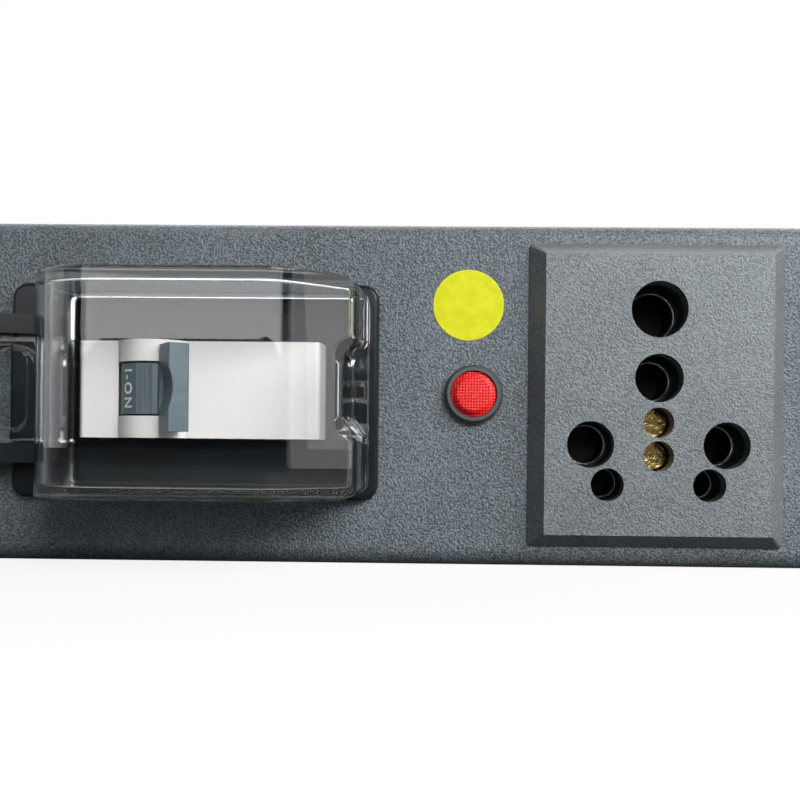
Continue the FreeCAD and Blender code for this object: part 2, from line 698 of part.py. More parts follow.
def breaker_case():
    """Breaker moulding with stepped nose, toggle well, terminal pockets and rail hook."""
    half = BREAKER_LENGTH / 2
    nose = NOSE_LENGTH / 2
    notch = RAIL_WIDTH / 2 + BREAKER_GAP
    low = -BREAKER_WIDTH / 2
    right = [(nose, NOSE_Y, CASE_EDGE_RADIUS), (nose, SHOULDER_Y, 0),
             (half, SHOULDER_Y, CASE_SHOULDER_RADIUS), (half, TAIL_Y, CASE_EDGE_RADIUS),
             (notch, TAIL_Y, 0), (notch, RAIL_Y, 0)]
    left = [(-x, y, radius) for x, y, radius in reversed(right)]
    points = [V(BREAKER_X + x, y, low) for x, y, _ in right + left]
    radii = [radius for _, _, radius in right + left]
    width = (low, -low)
    body = prism(points, radii, V(0, 0, BREAKER_WIDTH))
    well_half = BARREL_WIDTH / 2 + BARREL_GAP
    cheeks = [bore_z(CHEEK_RADIUS, TOGGLE_X, TOGGLE_Y, (low, -well_half)),
              bore_z(CHEEK_RADIUS, TOGGLE_X, TOGGLE_Y, (well_half, -low))]
    lip_back = RAIL_Y + RAIL_SHEET
    hook_x = (BREAKER_X + notch - HOOK_BITE - BREAKER_GAP, BREAKER_X + notch)
    hook = box(hook_x, (lip_back + CLIP_GAP, lip_back + CLIP_GAP + CLIP_THICKNESS), width)
    body = joined([body, hook] + cheeks)
    pivot_z = span(0, BARREL_WIDTH + 2 * (TRUNNION_LENGTH + BARREL_GAP))
    cuts = [bore_z(BARREL_RADIUS + BARREL_GAP, TOGGLE_X, TOGGLE_Y, (-well_half, well_half))]
    cuts.append(bore_z(TRUNNION_RADIUS + TRUNNION_RUNNING_GAP, TOGGLE_X, TOGGLE_Y, pivot_z))
    for end in (-1, 1):
        cuts.append(terminal_pocket(end))
        screw_x = terminal_middle(end)
        screw_y = (SHOULDER_Y - PAST, SHOULDER_Y + TERMINAL_DROP)
        cuts.append(bore_y(TERMINAL_SCREW_RADIUS + TERMINAL_SCREW_GAP, screw_x, 0, screw_y))
    cuts.append(box(*[grown(limits, CLIP_GAP) for limits in clip_limits()]))
    return without(body, cuts)


def terminal_middle(end):
    """Middle of a terminal along the unit, at the left (-1) or right (1) end of the breaker."""
    return BREAKER_X + end * (BREAKER_LENGTH / 2 - TERMINAL_END_WALL - TERMINAL_LENGTH / 2)


def terminal_pocket(end):
    """Room for one terminal, open at the end of the breaker."""
    inner = terminal_middle(end) - end * (TERMINAL_LENGTH / 2 + TERMINAL_GAP)
    x_limits = (inner, BREAKER_X + end * (BREAKER_LENGTH / 2 + PAST))
    start_y = SHOULDER_Y + TERMINAL_DROP
    y_limits = grown((start_y, start_y + TERMINAL_DEPTH), TERMINAL_GAP)
    return box(x_limits, y_limits, grown(span(0, TERMINAL_WIDTH), TERMINAL_GAP))


def terminal_wire_y():
    """Depth of the wire way through a breaker terminal."""
    return SHOULDER_Y + TERMINAL_DROP + TERMINAL_WIRE_DEPTH


def breaker_terminals():
    """Two brass cage terminals, each with a screw hole and a wire way."""
    cages = []
    for end in (-1, 1):
        middle = terminal_middle(end)
        depth = (SHOULDER_Y + TERMINAL_DROP, SHOULDER_Y + TERMINAL_DROP + TERMINAL_DEPTH)
        cage = box(span(middle, TERMINAL_LENGTH), depth, span(0, TERMINAL_WIDTH))
        reach = V(TERMINAL_LENGTH, 0, 0)
        wire_mid = V(middle, terminal_wire_y(), 0)
        wire_way = rod(LEAD_RADIUS + TERMINAL_GAP, wire_mid - reach, wire_mid + reach)
        screw_y = (depth[0] - PAST, wire_mid.y)
        screw_way = bore_y(TERMINAL_SCREW_RADIUS + SCREW_THREAD_GAP, middle, 0, screw_y)
        cages.append(without(cage, [wire_way, screw_way]))
    return Part.makeCompound(cages)


def breaker_terminal_screws():
    """Two clamp screws that press on the wires."""
    tip_y = terminal_wire_y() - LEAD_RADIUS - TERMINAL_GAP
    screws = []
    for end in (-1, 1):
        middle = terminal_middle(end)
        screws.append(bore_y(TERMINAL_SCREW_RADIUS, middle, 0, (SHOULDER_Y + TERMINAL_SCREW_SINK, tip_y)))
    return Part.makeCompound(screws)


def breaker_toggle():
    """Barrel with trunnions and a wide handle with a finger hollow, leaning to the ON side."""
    barrel = bore_z(BARREL_RADIUS, TOGGLE_X, TOGGLE_Y, span(0, BARREL_WIDTH))
    pivot = bore_z(TRUNNION_RADIUS, TOGGLE_X, TOGGLE_Y, span(0, BARREL_WIDTH + 2 * TRUNNION_LENGTH))
    root = HANDLE_ROOT_THICKNESS / 2
    tip = HANDLE_TIP_THICKNESS / 2
    low = -HANDLE_WIDTH / 2
    root_y = TOGGLE_Y - HANDLE_ROOT
    tip_y = TOGGLE_Y - HANDLE_TIP
    section = [V(TOGGLE_X - root, root_y, low), V(TOGGLE_X + root, root_y, low),
               V(TOGGLE_X + tip, tip_y, low), V(TOGGLE_X - tip, tip_y, low)]
    grip = prism(section, [HANDLE_EDGE_RADIUS] * len(section), V(0, 0, HANDLE_WIDTH))
    stem_y = (root_y - PAST, TOGGLE_Y)
    stem = box(span(TOGGLE_X, HANDLE_TIP_THICKNESS), stem_y, span(0, BARREL_WIDTH))
    hollow_x = TOGGLE_X - tip - HANDLE_HOLLOW_RADIUS + HANDLE_HOLLOW_DEPTH
    hollow = bore_y(HANDLE_HOLLOW_RADIUS, hollow_x, 0, (tip_y - PAST, root_y))
    toggle = without(joined([barrel, pivot, grip, stem]), [hollow] + barrel_grooves())
    toggle.rotate(V(TOGGLE_X, TOGGLE_Y, 0), V(0, 0, 1), TOGGLE_ON_ANGLE)
    return toggle


def barrel_grooves():
    """Lines across the barrel that frame its two ribs, facing nearly forward when the toggle is ON."""
    grooves = []
    for place in range(BARREL_GROOVE_COUNT):
        step = place - (BARREL_GROOVE_COUNT - 1) / 2
        turn = math.radians(step * BARREL_GROOVE_STEP - BARREL_GROOVE_LEAN - TOGGLE_ON_ANGLE)
        groove_x = TOGGLE_X + BARREL_RADIUS * math.sin(turn)
        groove_y = TOGGLE_Y - BARREL_RADIUS * math.cos(turn)
        width = grown(span(0, BARREL_WIDTH), PAST)
        grooves.append(bore_z(BARREL_GROOVE_RADIUS, groove_x, groove_y, width))
    return grooves


def clip_limits():
    """Limits of the rail clip along, across and up the breaker."""
    lip_back = RAIL_Y + RAIL_SHEET
    tongue = BREAKER_X - RAIL_WIDTH / 2 + HOOK_BITE
    tab = BREAKER_X - BREAKER_LENGTH / 2 - CLIP_TAB
    y_limits = (lip_back + CLIP_GAP, lip_back + CLIP_GAP + CLIP_THICKNESS)
    return ((tab, tongue), y_limits, span(0, CLIP_WIDTH))


def breaker_rail_clip():
    """Sliding clip that locks the breaker behind the rail lip, with a pull slot in its tab."""
    clip = box(*clip_limits())
    tab_x = clip_limits()[0][0]
    pull = box((tab_x - PAST, tab_x + CLIP_TAB), grown(clip_limits()[1], PAST), span(0, CLIP_WIDTH / 3))
    return clip.cut(pull)


def din_rail():
    """Top-hat rail on the rear cover, held between the housing lips."""
    lip = RAIL_WIDTH / 2
    web = RAIL_CHANNEL / 2
    inner = web - RAIL_SHEET
    half = HALF_HEIGHT - LIP_LENGTH - COVER_GAP
    back = COVER_Y - RAIL_SHEET
    front = RAIL_Y + RAIL_SHEET
    right = [(inner, back), (inner, RAIL_Y), (lip, RAIL_Y), (lip, front), (web, front), (web, COVER_Y)]
    left = [(-x, y) for x, y in reversed(right)]
    points = [V(BREAKER_X + x, y, -half) for x, y in right + left]
    rail = prism(points, [0] * len(points), V(0, 0, 2 * half))
    cuts = []
    for side in (-1, 1):
        z = side * RAIL_SCREW_SPACING / 2
        cuts.append(bore_y(SCREW_RADIUS + SCREW_THREAD_GAP, BREAKER_X, z, (back - PAST, COVER_Y + PAST)))
    return without(rail, cuts)


# Indicator lamp

def lamp_bezel():
    """Lamp body: bevelled front ring, threaded barrel and closed rear wall with tab slots."""
    inner = BARREL_THREAD_RADIUS - LAMP_WALL
    seat = LENS_SKIRT_RADIUS + LENS_GAP
    end_y = FACE_Y + LAMP_DEPTH
    front_y = out(BEZEL_RISE)
    profile = [(seat, front_y), (BEZEL_RADIUS - BEZEL_BEVEL_WIDTH, front_y),
               (BEZEL_RADIUS, front_y + BEZEL_BEVEL_DEPTH), (BEZEL_RADIUS, FACE_Y),
               (BARREL_THREAD_RADIUS, FACE_Y), (BARREL_THREAD_RADIUS, end_y),
               (0, end_y), (0, end_y - SHEET), (inner, end_y - SHEET),
               (inner, out(LENS_GAP)), (seat, out(LENS_GAP))]
    slots = [box(*[grown(limits, SCREW_THREAD_GAP) for limits in tab]) for tab in lamp_tab_limits()]
    return without(turned(profile, LAMP_X, 0), slots)


def lamp_tab_limits():
    """Limits of the two solder tabs of the lamp."""
    end_y = FACE_Y + LAMP_DEPTH
    tabs = []
    for side in (-1, 1):
        y_limits = (end_y - SHEET - LAMP_TAB_ROOT, end_y + LAMP_TAB_LENGTH)
        z_limits = span(side * LAMP_TAB_OFFSET, LAMP_TAB_SHEET)
        tabs.append((span(LAMP_X, LAMP_TAB_WIDTH), y_limits, z_limits))
    return tabs


def lamp_terminals():
    """Two tin-plated solder tabs."""
    return Part.makeCompound([box(*tab) for tab in lamp_tab_limits()])


def lamp_lens():
    """Stepped red lens with a low crown."""
    foot = out(LENS_GAP)
    profile = [(0, foot), (LENS_SKIRT_RADIUS, foot),
               (LENS_SKIRT_RADIUS, out(BEZEL_RISE - LENS_SKIRT_DROP)),
               (LENS_RADIUS, out(BEZEL_RISE - LENS_STEP_DROP)),
               (LENS_RADIUS, out(LENS_RISE - LENS_EDGE_DROP)),
               (LENS_RADIUS - LENS_EDGE_WIDTH, out(LENS_RISE - LENS_CROWN)), (0, out(LENS_RISE))]
    return turned(profile, LAMP_X, 0)


def lamp_bulb():
    """Neon bulb that stands on the rear wall of the lamp body."""
    foot = FACE_Y + LAMP_DEPTH - SHEET
    tip = FACE_Y + LAMP_WALL + LENS_GAP
    shoulder = tip + BULB_RADIUS / 2
    profile = [(0, foot), (BULB_RADIUS, foot), (BULB_RADIUS, shoulder), (BULB_RADIUS / 2, tip), (0, tip)]
    return turned(profile, LAMP_X, 0)


def lamp_nut():
    """Hexagon nut that clamps the lamp from behind the panel."""
    depth = (PANEL_BACK_Y, PANEL_BACK_Y + LAMP_NUT_DEPTH)
    hole = bore_y(BARREL_THREAD_RADIUS + SCREW_THREAD_GAP, LAMP_X, 0, grown(depth, PAST))
    return hex_bar(LAMP_NUT_FLATS, LAMP_X, 0, depth).cut(hole)


# Outlets

def pin_ways():
    """Each pin hole of an outlet: offset, height, well radius and pin radius."""
    ways = [(0, LARGE_EARTH_Z, LARGE_EARTH_WELL, LARGE_EARTH_PIN),
            (0, SMALL_EARTH_Z, SMALL_EARTH_WELL, SMALL_EARTH_PIN)]
    for side in (-1, 1):
        ways.append((side * LARGE_PAIR_SPACING / 2, LARGE_PAIR_Z, LARGE_PAIR_WELL, LARGE_PAIR_PIN))
        ways.append((side * SMALL_PAIR_SPACING / 2, SMALL_PAIR_Z, SMALL_PAIR_WELL, SMALL_PAIR_PIN))
    return ways


def outlet_face(x):
    """Bevelled front moulding with its plug block, pin wells that narrow at their floor, and screw wells."""
    edge = slab(span(x, PLATE_WIDTH), span(0, PLATE_HEIGHT), PLATE_CORNER, (FACE_Y, out(PLATE_EDGE)))
    foot = outline(span(x, PLATE_WIDTH), span(0, PLATE_HEIGHT), PLATE_CORNER, out(PLATE_EDGE))
    crown_width = PLATE_WIDTH - 2 * PLATE_SIDE_BEVEL
    crown_height = PLATE_HEIGHT - 2 * PLATE_END_BEVEL
    crown = outline(span(x, crown_width), span(0, crown_height), CROWN_CORNER, PLATE_Y)
    bevel = Part.makeLoft([foot, crown], True, True)
    block = slab(span(x, PLUG_WIDTH), span(0, PLUG_HEIGHT), PLUG_CORNER, (FACE_Y, FLOOR_Y))
    through = grown((PLATE_Y, FLOOR_Y), PAST)
    wells = []
    for offset, z, well, pin in pin_ways():
        wells.append(bore_y(well, x + offset, z, (PLATE_Y - PAST, WELL_Y)))
        wells.append(bore_y(pin + PIN_PASS_GAP, x + offset, z, through))
    for z in OUTLET_SCREW_Z:
        wells.append(bore_y(OUTLET_SCREW_WELL, x, z, (PLATE_Y - PAST, PLATE_Y + OUTLET_SCREW_RECESS)))
        wells.append(bore_y(SCREW_RADIUS + SCREW_PASS_GAP, x, z, through))
    return rounded_pin_holes(without(joined([edge, bevel, block]), wells))


def rounded_pin_holes(face):
    """Front moulding with a rounded rim where each well narrows to its pin hole."""
    hole_radii = [pin + PIN_PASS_GAP for _, _, _, pin in pin_ways()]
    rims = []
    for edge in face.Edges:
        on_floor = abs(edge.CenterOfMass.y - WELL_Y) < TINY
        if on_floor and min(abs(edge.Curve.Radius - radius) for radius in hole_radii) < TINY:
            rims.append(edge)
    room = min(well - pin for _, _, well, pin in pin_ways()) - PIN_PASS_GAP
    lead_in = min(PIN_LEAD_IN, LEAD_IN_SHARE * room)
    return face.makeFillet(lead_in, rims) if lead_in > TINY else face


def contact_limits(x, way):
    """Limits of the line (1), neutral (-1) or earth (0) contact of an outlet."""
    ways = [pin_way for pin_way in pin_ways() if pin_way[0] * way > 0 or pin_way[0] == way]
    holes = [(x + offset, z, pin) for offset, z, _, pin in ways]
    x_low = min(hole_x - pin for hole_x, _, pin in holes)
    x_high = max(hole_x + pin for hole_x, _, pin in holes)
    z_low = min(z - pin for _, z, pin in holes)
    z_high = max(z + pin for _, z, pin in holes)
    depth = (FLOOR_Y, FLOOR_Y + CONTACT_LENGTH)
    return (grown((x_low, x_high), CONTACT_WALL), depth, grown((z_low, z_high), CONTACT_WALL)), holes


def tail_limits(x, way):
    """Limits of the tail that carries a contact to its supply bar."""
    limits, _ = contact_limits(x, way)
    bar_z = {1: LINE_BAR_Z, -1: NEUTRAL_BAR_Z, 0: EARTH_BAR_Z}[way]
    middle = (limits[0][0] + limits[0][1]) / 2
    return (span(middle, TAIL_SHEET), (limits[1][1], BAR_BACK_Y + TAIL_END), span(bar_z, TAIL_WIDTH))


def contacts(way):
    """Bored brass contact blocks of one way, with tails that pass through the supply bar."""
    blocks = []
    for x in OUTLET_X:
        limits, holes = contact_limits(x, way)
        block = joined([box(*limits), box(*tail_limits(x, way))])
        bore_span = (FLOOR_Y - PAST, limits[1][1] - CONTACT_END_WALL)
        bores = [bore_y(pin + PIN_FIT, hole_x, z, bore_span) for hole_x, z, pin in holes]
        blocks.append(without(block, bores))
    return Part.makeCompound(blocks)


def outlet_back(x):
    """Rear moulding that clamps the panel and holds the contacts."""
    body = slab(span(x, BACK_WIDTH), span(0, BACK_HEIGHT), PLUG_CORNER, (PANEL_BACK_Y, BACK_Y))
    nest_x = grown(span(x, PLUG_WIDTH), PANEL_FIT)
    nest_z = grown(span(0, PLUG_HEIGHT), PANEL_FIT)
    cuts = [slab(nest_x, nest_z, PLUG_CORNER, (PANEL_BACK_Y - PAST, FLOOR_Y))]
    for way in (-1, 0, 1):
        limits, _ = contact_limits(x, way)
        x_limits, y_limits, z_limits = [grown(limit, CONTACT_GAP) for limit in limits]
        cuts.append(box(x_limits, (FLOOR_Y - PAST, y_limits[1]), z_limits))
        x_limits, y_limits, z_limits = [grown(limit, CONTACT_GAP) for limit in tail_limits(x, way)]
        cuts.append(box(x_limits, y_limits, z_limits))
    for z in OUTLET_SCREW_Z:
        tip_y = PLATE_Y + OUTLET_SCREW_RECESS + OUTLET_SCREW_LENGTH
        cuts.append(bore_y(SCREW_RADIUS + SCREW_THREAD_GAP, x, z, (FLOOR_Y - PAST, tip_y + PAST)))
    return without(body, cuts)


def outlet_screws():
    """Brass cheese-head screws that pull each outlet together."""
    screws = []
    seat_y = PLATE_Y + OUTLET_SCREW_RECESS
    for x in OUTLET_X:
        for z in OUTLET_SCREW_Z:
            head_y = (seat_y - OUTLET_SCREW_HEAD_HEIGHT, seat_y)
            head = bore_y(OUTLET_SCREW_HEAD, x, z, head_y)
            slot_y = (head_y[0] - PAST, head_y[0] + OUTLET_SCREW_HEAD_HEIGHT / 2)
            slot = box(span(x, 2 * OUTLET_SCREW_HEAD + PAST), slot_y, span(z, OUTLET_SCREW_SLOT))
            shank = bore_y(SCREW_RADIUS, x, z, (seat_y, seat_y + OUTLET_SCREW_LENGTH))
            screws.append(joined([head, shank]).cut(slot))
    return Part.makeCompound(screws)


# Supply bars and leads

def supply_bar(way, bar_z):
    """Copper bar behind all outlets, slotted for the contact tails."""
    bar = box(BAR_X, (BAR_Y, BAR_BACK_Y), span(bar_z, BAR_HEIGHT))
    slots = [box(*[grown(limit, CONTACT_GAP) for limit in tail_limits(x, way)]) for x in OUTLET_X]
    return without(bar, slots)


def line_lead():
    """Lead from the breaker to the line bar."""
    start_x = terminal_middle(1)
    bar_y = BAR_BACK_Y + LEAD_RADIUS + LEAD_TOUCH
    turn_x = BAR_X[0] - LINE_TURN
    wire_y = terminal_wire_y()
    route = [V(start_x, wire_y, 0), V(turn_x, wire_y, 0), V(turn_x, bar_y, LINE_BAR_Z),
             V(BAR_X[0] + LEAD_BEND, bar_y, LINE_BAR_Z)]
    return lead(route, LEAD_RADIUS, LINE_LEAD_BEND)


def block_way(side):
    """Depth and height of a wire way in the terminal block: neutral (-1) below, earth (1) above."""
    return (LIP_Y - BLOCK_DEPTH / 2, BLOCK_Z + side * BLOCK_WAY_OFFSET)


def block_lead(side, bar_z, turn_x):
    """Lead from the terminal block to a supply bar, under the breaker."""
    way_y, way_z = block_way(side)
    bar_y = BAR_BACK_Y + LEAD_RADIUS + LEAD_TOUCH
    route = [V(BLOCK_X, way_y, way_z), V(turn_x, way_y, way_z), V(turn_x, bar_y, bar_z),
             V(BAR_X[0] + LEAD_BEND, bar_y, bar_z)]
    return lead(route, LEAD_RADIUS, LEAD_BEND)


def neutral_lead():
    """Neutral lead, which turns nearest the breaker."""
    return block_lead(-1, NEUTRAL_BAR_Z, BAR_X[0] - NEUTRAL_TURN)


def earth_lead():
    """Earth lead, which turns between the neutral lead and the bars."""
    return block_lead(1, EARTH_BAR_Z, BAR_X[0] - EARTH_TURN)


def lamp_leads():
    """Two thin leads from the lamp tabs to the edges of the line and neutral bars."""
    tab_end = FACE_Y + LAMP_DEPTH + LAMP_TAB_LENGTH
    touch = BAR_HEIGHT / 2 + LAMP_LEAD_RADIUS + LEAD_TOUCH
    bar_y = (BAR_Y + BAR_BACK_Y) / 2
    start_y = tab_end - LAMP_TAB_LENGTH / 2
    start_z = LAMP_TAB_OFFSET + LAMP_TAB_SHEET / 2 + LAMP_LEAD_RADIUS + LEAD_TOUCH
    line_z = LINE_BAR_Z + touch
    neutral_z = NEUTRAL_BAR_Z - touch
    drop_y = tab_end + LAMP_LEAD_BEND
    before_bar = BAR_X[0] - LAMP_LEAD_BEND
    on_bar = BAR_X[0] + LAMP_LEAD_BEND
    end_x = BAR_X[0] + 4 * LAMP_LEAD_BEND
    line_route = [V(LAMP_X, start_y, start_z), V(LAMP_X, bar_y, start_z), V(before_bar, bar_y, start_z),
                  V(on_bar, bar_y, line_z), V(end_x, bar_y, line_z)]
    neutral_route = [V(LAMP_X, start_y, -start_z), V(LAMP_X, drop_y, -start_z),
                     V(LAMP_X, drop_y, neutral_z), V(before_bar - 2 * LAMP_LEAD_BEND, bar_y, neutral_z),
                     V(end_x, bar_y, neutral_z)]
    wires = [lead(route, LAMP_LEAD_RADIUS, LAMP_LEAD_BEND) for route in (line_route, neutral_route)]
    return Part.makeCompound(wires)


# Supply entry

def supply_terminal_block():
    """Two-way terminal block on the lower rear lip."""
    body = box(span(BLOCK_X, BLOCK_LENGTH), (LIP_Y - BLOCK_DEPTH, LIP_Y), span(BLOCK_Z, BLOCK_HEIGHT))
    cuts = []
    for side in (-1, 1):
        way_y, way_z = block_way(side)
        reach = V(BLOCK_LENGTH / 2 + PAST, 0, 0)
        middle = V(BLOCK_X, way_y, way_z)
        cuts.append(rod(LEAD_RADIUS + BLOCK_WAY_GAP, middle - reach, middle + reach))
        clamp_y = (LIP_Y - BLOCK_DEPTH - PAST, way_y)
        cuts.append(bore_y(BLOCK_SCREW_RADIUS + SCREW_THREAD_GAP, *block_screw(side), clamp_y))
    tip_y = REAR_Y - SCREW_LENGTH - PAST
    for x, z in rear_screw_places():
        cuts.append(bore_y(SCREW_RADIUS + SCREW_THREAD_GAP, x, z, (tip_y, LIP_Y + PAST)))
    return without(body, cuts)


def block_screw(side):
    """Place of a clamp screw in the terminal block."""
    return (BLOCK_X + BLOCK_LENGTH / 4, BLOCK_Z + side * BLOCK_WAY_OFFSET)


def block_screws():
    """Clamp screws of the terminal block."""
    screws = []
    for side in (-1, 1):
        head_y = LIP_Y - BLOCK_DEPTH + BLOCK_SCREW_SINK
        tip_y = block_way(side)[0] - LEAD_RADIUS - LEAD_TOUCH
        screws.append(bore_y(BLOCK_SCREW_RADIUS, *block_screw(side), (head_y, tip_y)))
    return Part.makeCompound(screws)


def gland_body():
    """Hexagon gland body with its panel thread and the collar that carries the cap."""
    inner_y = COVER_Y - GLAND_NUT_DEPTH - GLAND_THREAD_END
    thread = bore_y(GLAND_THREAD_RADIUS, GLAND_X, 0, (inner_y, REAR_Y))
    flange = hex_bar(GLAND_FLATS, GLAND_X, 0, (REAR_Y, REAR_Y + GLAND_FLANGE))
    collar_y = (REAR_Y + GLAND_FLANGE, REAR_Y + GLAND_FLANGE + GLAND_SLEEVE_LENGTH)
    collar = bore_y(GLAND_SLEEVE_RADIUS, GLAND_X, 0, collar_y)
    body = joined([thread, flange, collar])
    bore = bore_y(GLAND_BORE_RADIUS, GLAND_X, 0, grown((inner_y, collar_y[1]), PAST))
    return body.cut(bore)


def gland_locknut():
    """Nut that clamps the gland from inside the rear cover."""
    depth = (COVER_Y - GLAND_NUT_DEPTH, COVER_Y)
    hole = bore_y(GLAND_THREAD_RADIUS + SCREW_THREAD_GAP, GLAND_X, 0, grown(depth, PAST))
    return hex_bar(GLAND_FLATS, GLAND_X, 0, depth).cut(hole)


def gland_cap():
    """Domed hexagon cap of the gland, open for the cable."""
    start = REAR_Y + GLAND_FLANGE + COVER_GAP
    end = start + GLAND_CAP_LENGTH
    dome = turned([(0, start), (GLAND_CAP_RADIUS, start), (GLAND_CAP_RADIUS, end - GLAND_DOME_LENGTH),
                   (GLAND_DOME_RADIUS, end - GLAND_TIP_LENGTH), (GLAND_BORE_RADIUS + GLAND_TIP_WALL, end),
                   (0, end)], GLAND_X, 0)
    cap = hex_bar(GLAND_FLATS, GLAND_X, 0, (start, end)).common(dome)
    room_end = REAR_Y + GLAND_FLANGE + GLAND_SLEEVE_LENGTH + COVER_GAP
    room = bore_y(GLAND_SLEEVE_RADIUS + SCREW_THREAD_GAP, GLAND_X, 0, (start - PAST, room_end))
    mouth = bore_y(GLAND_BORE_RADIUS, GLAND_X, 0, (start, end + PAST))
    return without(cap, [room, mouth])


def gland_seal():
    """Rubber sealing ring inside the gland."""
    end = REAR_Y + GLAND_FLANGE + GLAND_SLEEVE_LENGTH
    depth = (end - GLAND_CAP_LENGTH / 2, end)
    outer = bore_y(GLAND_BORE_RADIUS - SCREW_THREAD_GAP, GLAND_X, 0, depth)
    return outer.cut(bore_y(GLAND_SEAL_RADIUS, GLAND_X, 0, grown(depth, PAST)))


def earth_stud():
    """Threaded earth stud pressed into the rear cover."""
    return bore_y(STUD_RADIUS, STUD_X, STUD_Z, (REAR_Y - STUD_LENGTH, REAR_Y))


def earth_stud_nut():
    """Nut that holds the bonding lug on the stud."""
    depth = (COVER_Y - BOND_LUG_SHEET - STUD_NUT_DEPTH, COVER_Y - BOND_LUG_SHEET)
    hole = bore_y(STUD_RADIUS + SCREW_THREAD_GAP, STUD_X, STUD_Z, grown(depth, PAST))
    return hex_bar(STUD_NUT_FLATS, STUD_X, STUD_Z, depth).cut(hole)


def earth_bond_lead():
    """Ring lug on the stud and its lead to the earth bar."""
    depth = (COVER_Y - BOND_LUG_SHEET, COVER_Y)
    ring = bore_y(STUD_NUT_FLATS / 2, STUD_X, STUD_Z, depth)
    tongue_x = (STUD_X, STUD_X + BOND_LUG_TONGUE)
    tongue = box(tongue_x, depth, span(STUD_Z, 2 * BOND_LEAD_RADIUS))
    lead_y = depth[0] - BOND_LEAD_RADIUS + LEAD_TOUCH
    bar_y = BAR_BACK_Y + BOND_LEAD_RADIUS + LEAD_TOUCH
    turn_x = BAR_X[0] + 2 * LEAD_BEND
    route = [V(STUD_X + BOND_LUG_CRIMP, lead_y, STUD_Z), V(turn_x, lead_y, STUD_Z),
             V(turn_x, bar_y, EARTH_BAR_Z), V(turn_x + LEAD_BEND, bar_y, EARTH_BAR_Z)]
    wire = lead(route, BOND_LEAD_RADIUS, LEAD_BEND / 2)
    hole = bore_y(STUD_RADIUS + SCREW_THREAD_GAP, STUD_X, STUD_Z, grown(depth, PAST))
    return joined([ring, tongue, wire]).cut(hole)


# Every piece by name

def all_pieces():
    """Name and shape of every piece of the unit."""
    pieces = {
        "front_channel": front_channel(),
        "rear_cover": rear_cover(),
        "left_end_bracket": left_end_bracket(),
        "right_end_bracket": right_end_bracket(),
        "cover_screws": cover_screws(),
        "window_base": window_base(),
        "window_lid": window_lid(),
        "window_hinge_pin": hinge_pin(),
        "breaker_case": breaker_case(),
        "breaker_toggle": breaker_toggle(),
        "breaker_terminals": breaker_terminals(),
        "breaker_terminal_screws": breaker_terminal_screws(),
        "breaker_rail_clip": breaker_rail_clip(),
        "din_rail": din_rail(),
        "lamp_bezel": lamp_bezel(),
        "lamp_lens": lamp_lens(),
        "lamp_bulb": lamp_bulb(),
        "lamp_nut": lamp_nut(),
        "lamp_terminals": lamp_terminals(),
        "line_contacts": contacts(1),
        "neutral_contacts": contacts(-1),
        "earth_contacts": contacts(0),
        "outlet_screws": outlet_screws(),
        "line_bar": supply_bar(1, LINE_BAR_Z),
        "neutral_bar": supply_bar(-1, NEUTRAL_BAR_Z),
        "earth_bar": supply_bar(0, EARTH_BAR_Z),
        "line_lead": line_lead(),
        "neutral_lead": neutral_lead(),
        "earth_lead": earth_lead(),
        "lamp_leads": lamp_leads(),
        "supply_terminal_block": supply_terminal_block(),
        "block_screws": block_screws(),
        "gland_body": gland_body(),
        "gland_locknut": gland_locknut(),
        "gland_cap": gland_cap(),
        "gland_seal": gland_seal(),
        "earth_stud": earth_stud(),
        "earth_stud_nut": earth_stud_nut(),
        "earth_bond_lead": earth_bond_lead(),
    }
    for number, x in enumerate(OUTLET_X, start=1):
        pieces[f"outlet_{number}_face"] = outlet_face(x)
        pieces[f"outlet_{number}_back"] = outlet_back(x)
    return pieces


os.makedirs("parts", exist_ok=True)
for name, shape in all_pieces().items():
    shape.exportStep(f"parts/{name}.step")
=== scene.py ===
import json
import math

import bmesh
import bpy
from mathutils import Matrix, Vector


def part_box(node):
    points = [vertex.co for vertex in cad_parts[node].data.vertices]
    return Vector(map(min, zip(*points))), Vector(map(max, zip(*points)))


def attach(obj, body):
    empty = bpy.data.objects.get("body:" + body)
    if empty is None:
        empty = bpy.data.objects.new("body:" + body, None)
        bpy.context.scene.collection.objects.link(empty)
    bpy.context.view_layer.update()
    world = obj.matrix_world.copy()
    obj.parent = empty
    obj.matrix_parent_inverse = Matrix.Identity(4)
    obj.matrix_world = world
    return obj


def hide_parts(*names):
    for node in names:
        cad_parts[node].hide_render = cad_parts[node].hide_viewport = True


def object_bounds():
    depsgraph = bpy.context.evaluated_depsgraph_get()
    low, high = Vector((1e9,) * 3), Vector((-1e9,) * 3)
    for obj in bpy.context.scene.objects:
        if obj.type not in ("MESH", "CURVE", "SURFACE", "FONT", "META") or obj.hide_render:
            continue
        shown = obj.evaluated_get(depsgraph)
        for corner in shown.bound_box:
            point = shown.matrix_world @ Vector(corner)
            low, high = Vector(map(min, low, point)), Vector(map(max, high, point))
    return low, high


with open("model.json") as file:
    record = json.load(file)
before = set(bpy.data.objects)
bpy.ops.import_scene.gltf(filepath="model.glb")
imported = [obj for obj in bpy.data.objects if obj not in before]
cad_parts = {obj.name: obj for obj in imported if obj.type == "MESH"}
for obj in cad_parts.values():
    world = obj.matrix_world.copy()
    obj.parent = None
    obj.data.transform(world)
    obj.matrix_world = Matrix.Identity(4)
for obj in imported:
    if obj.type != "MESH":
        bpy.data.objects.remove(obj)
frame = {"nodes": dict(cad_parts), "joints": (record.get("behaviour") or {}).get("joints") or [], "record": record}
cad_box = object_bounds()

MM = 0.001
NODES = frame["nodes"]
CHASSIS = "chassis"
TOGGLE = "toggle"

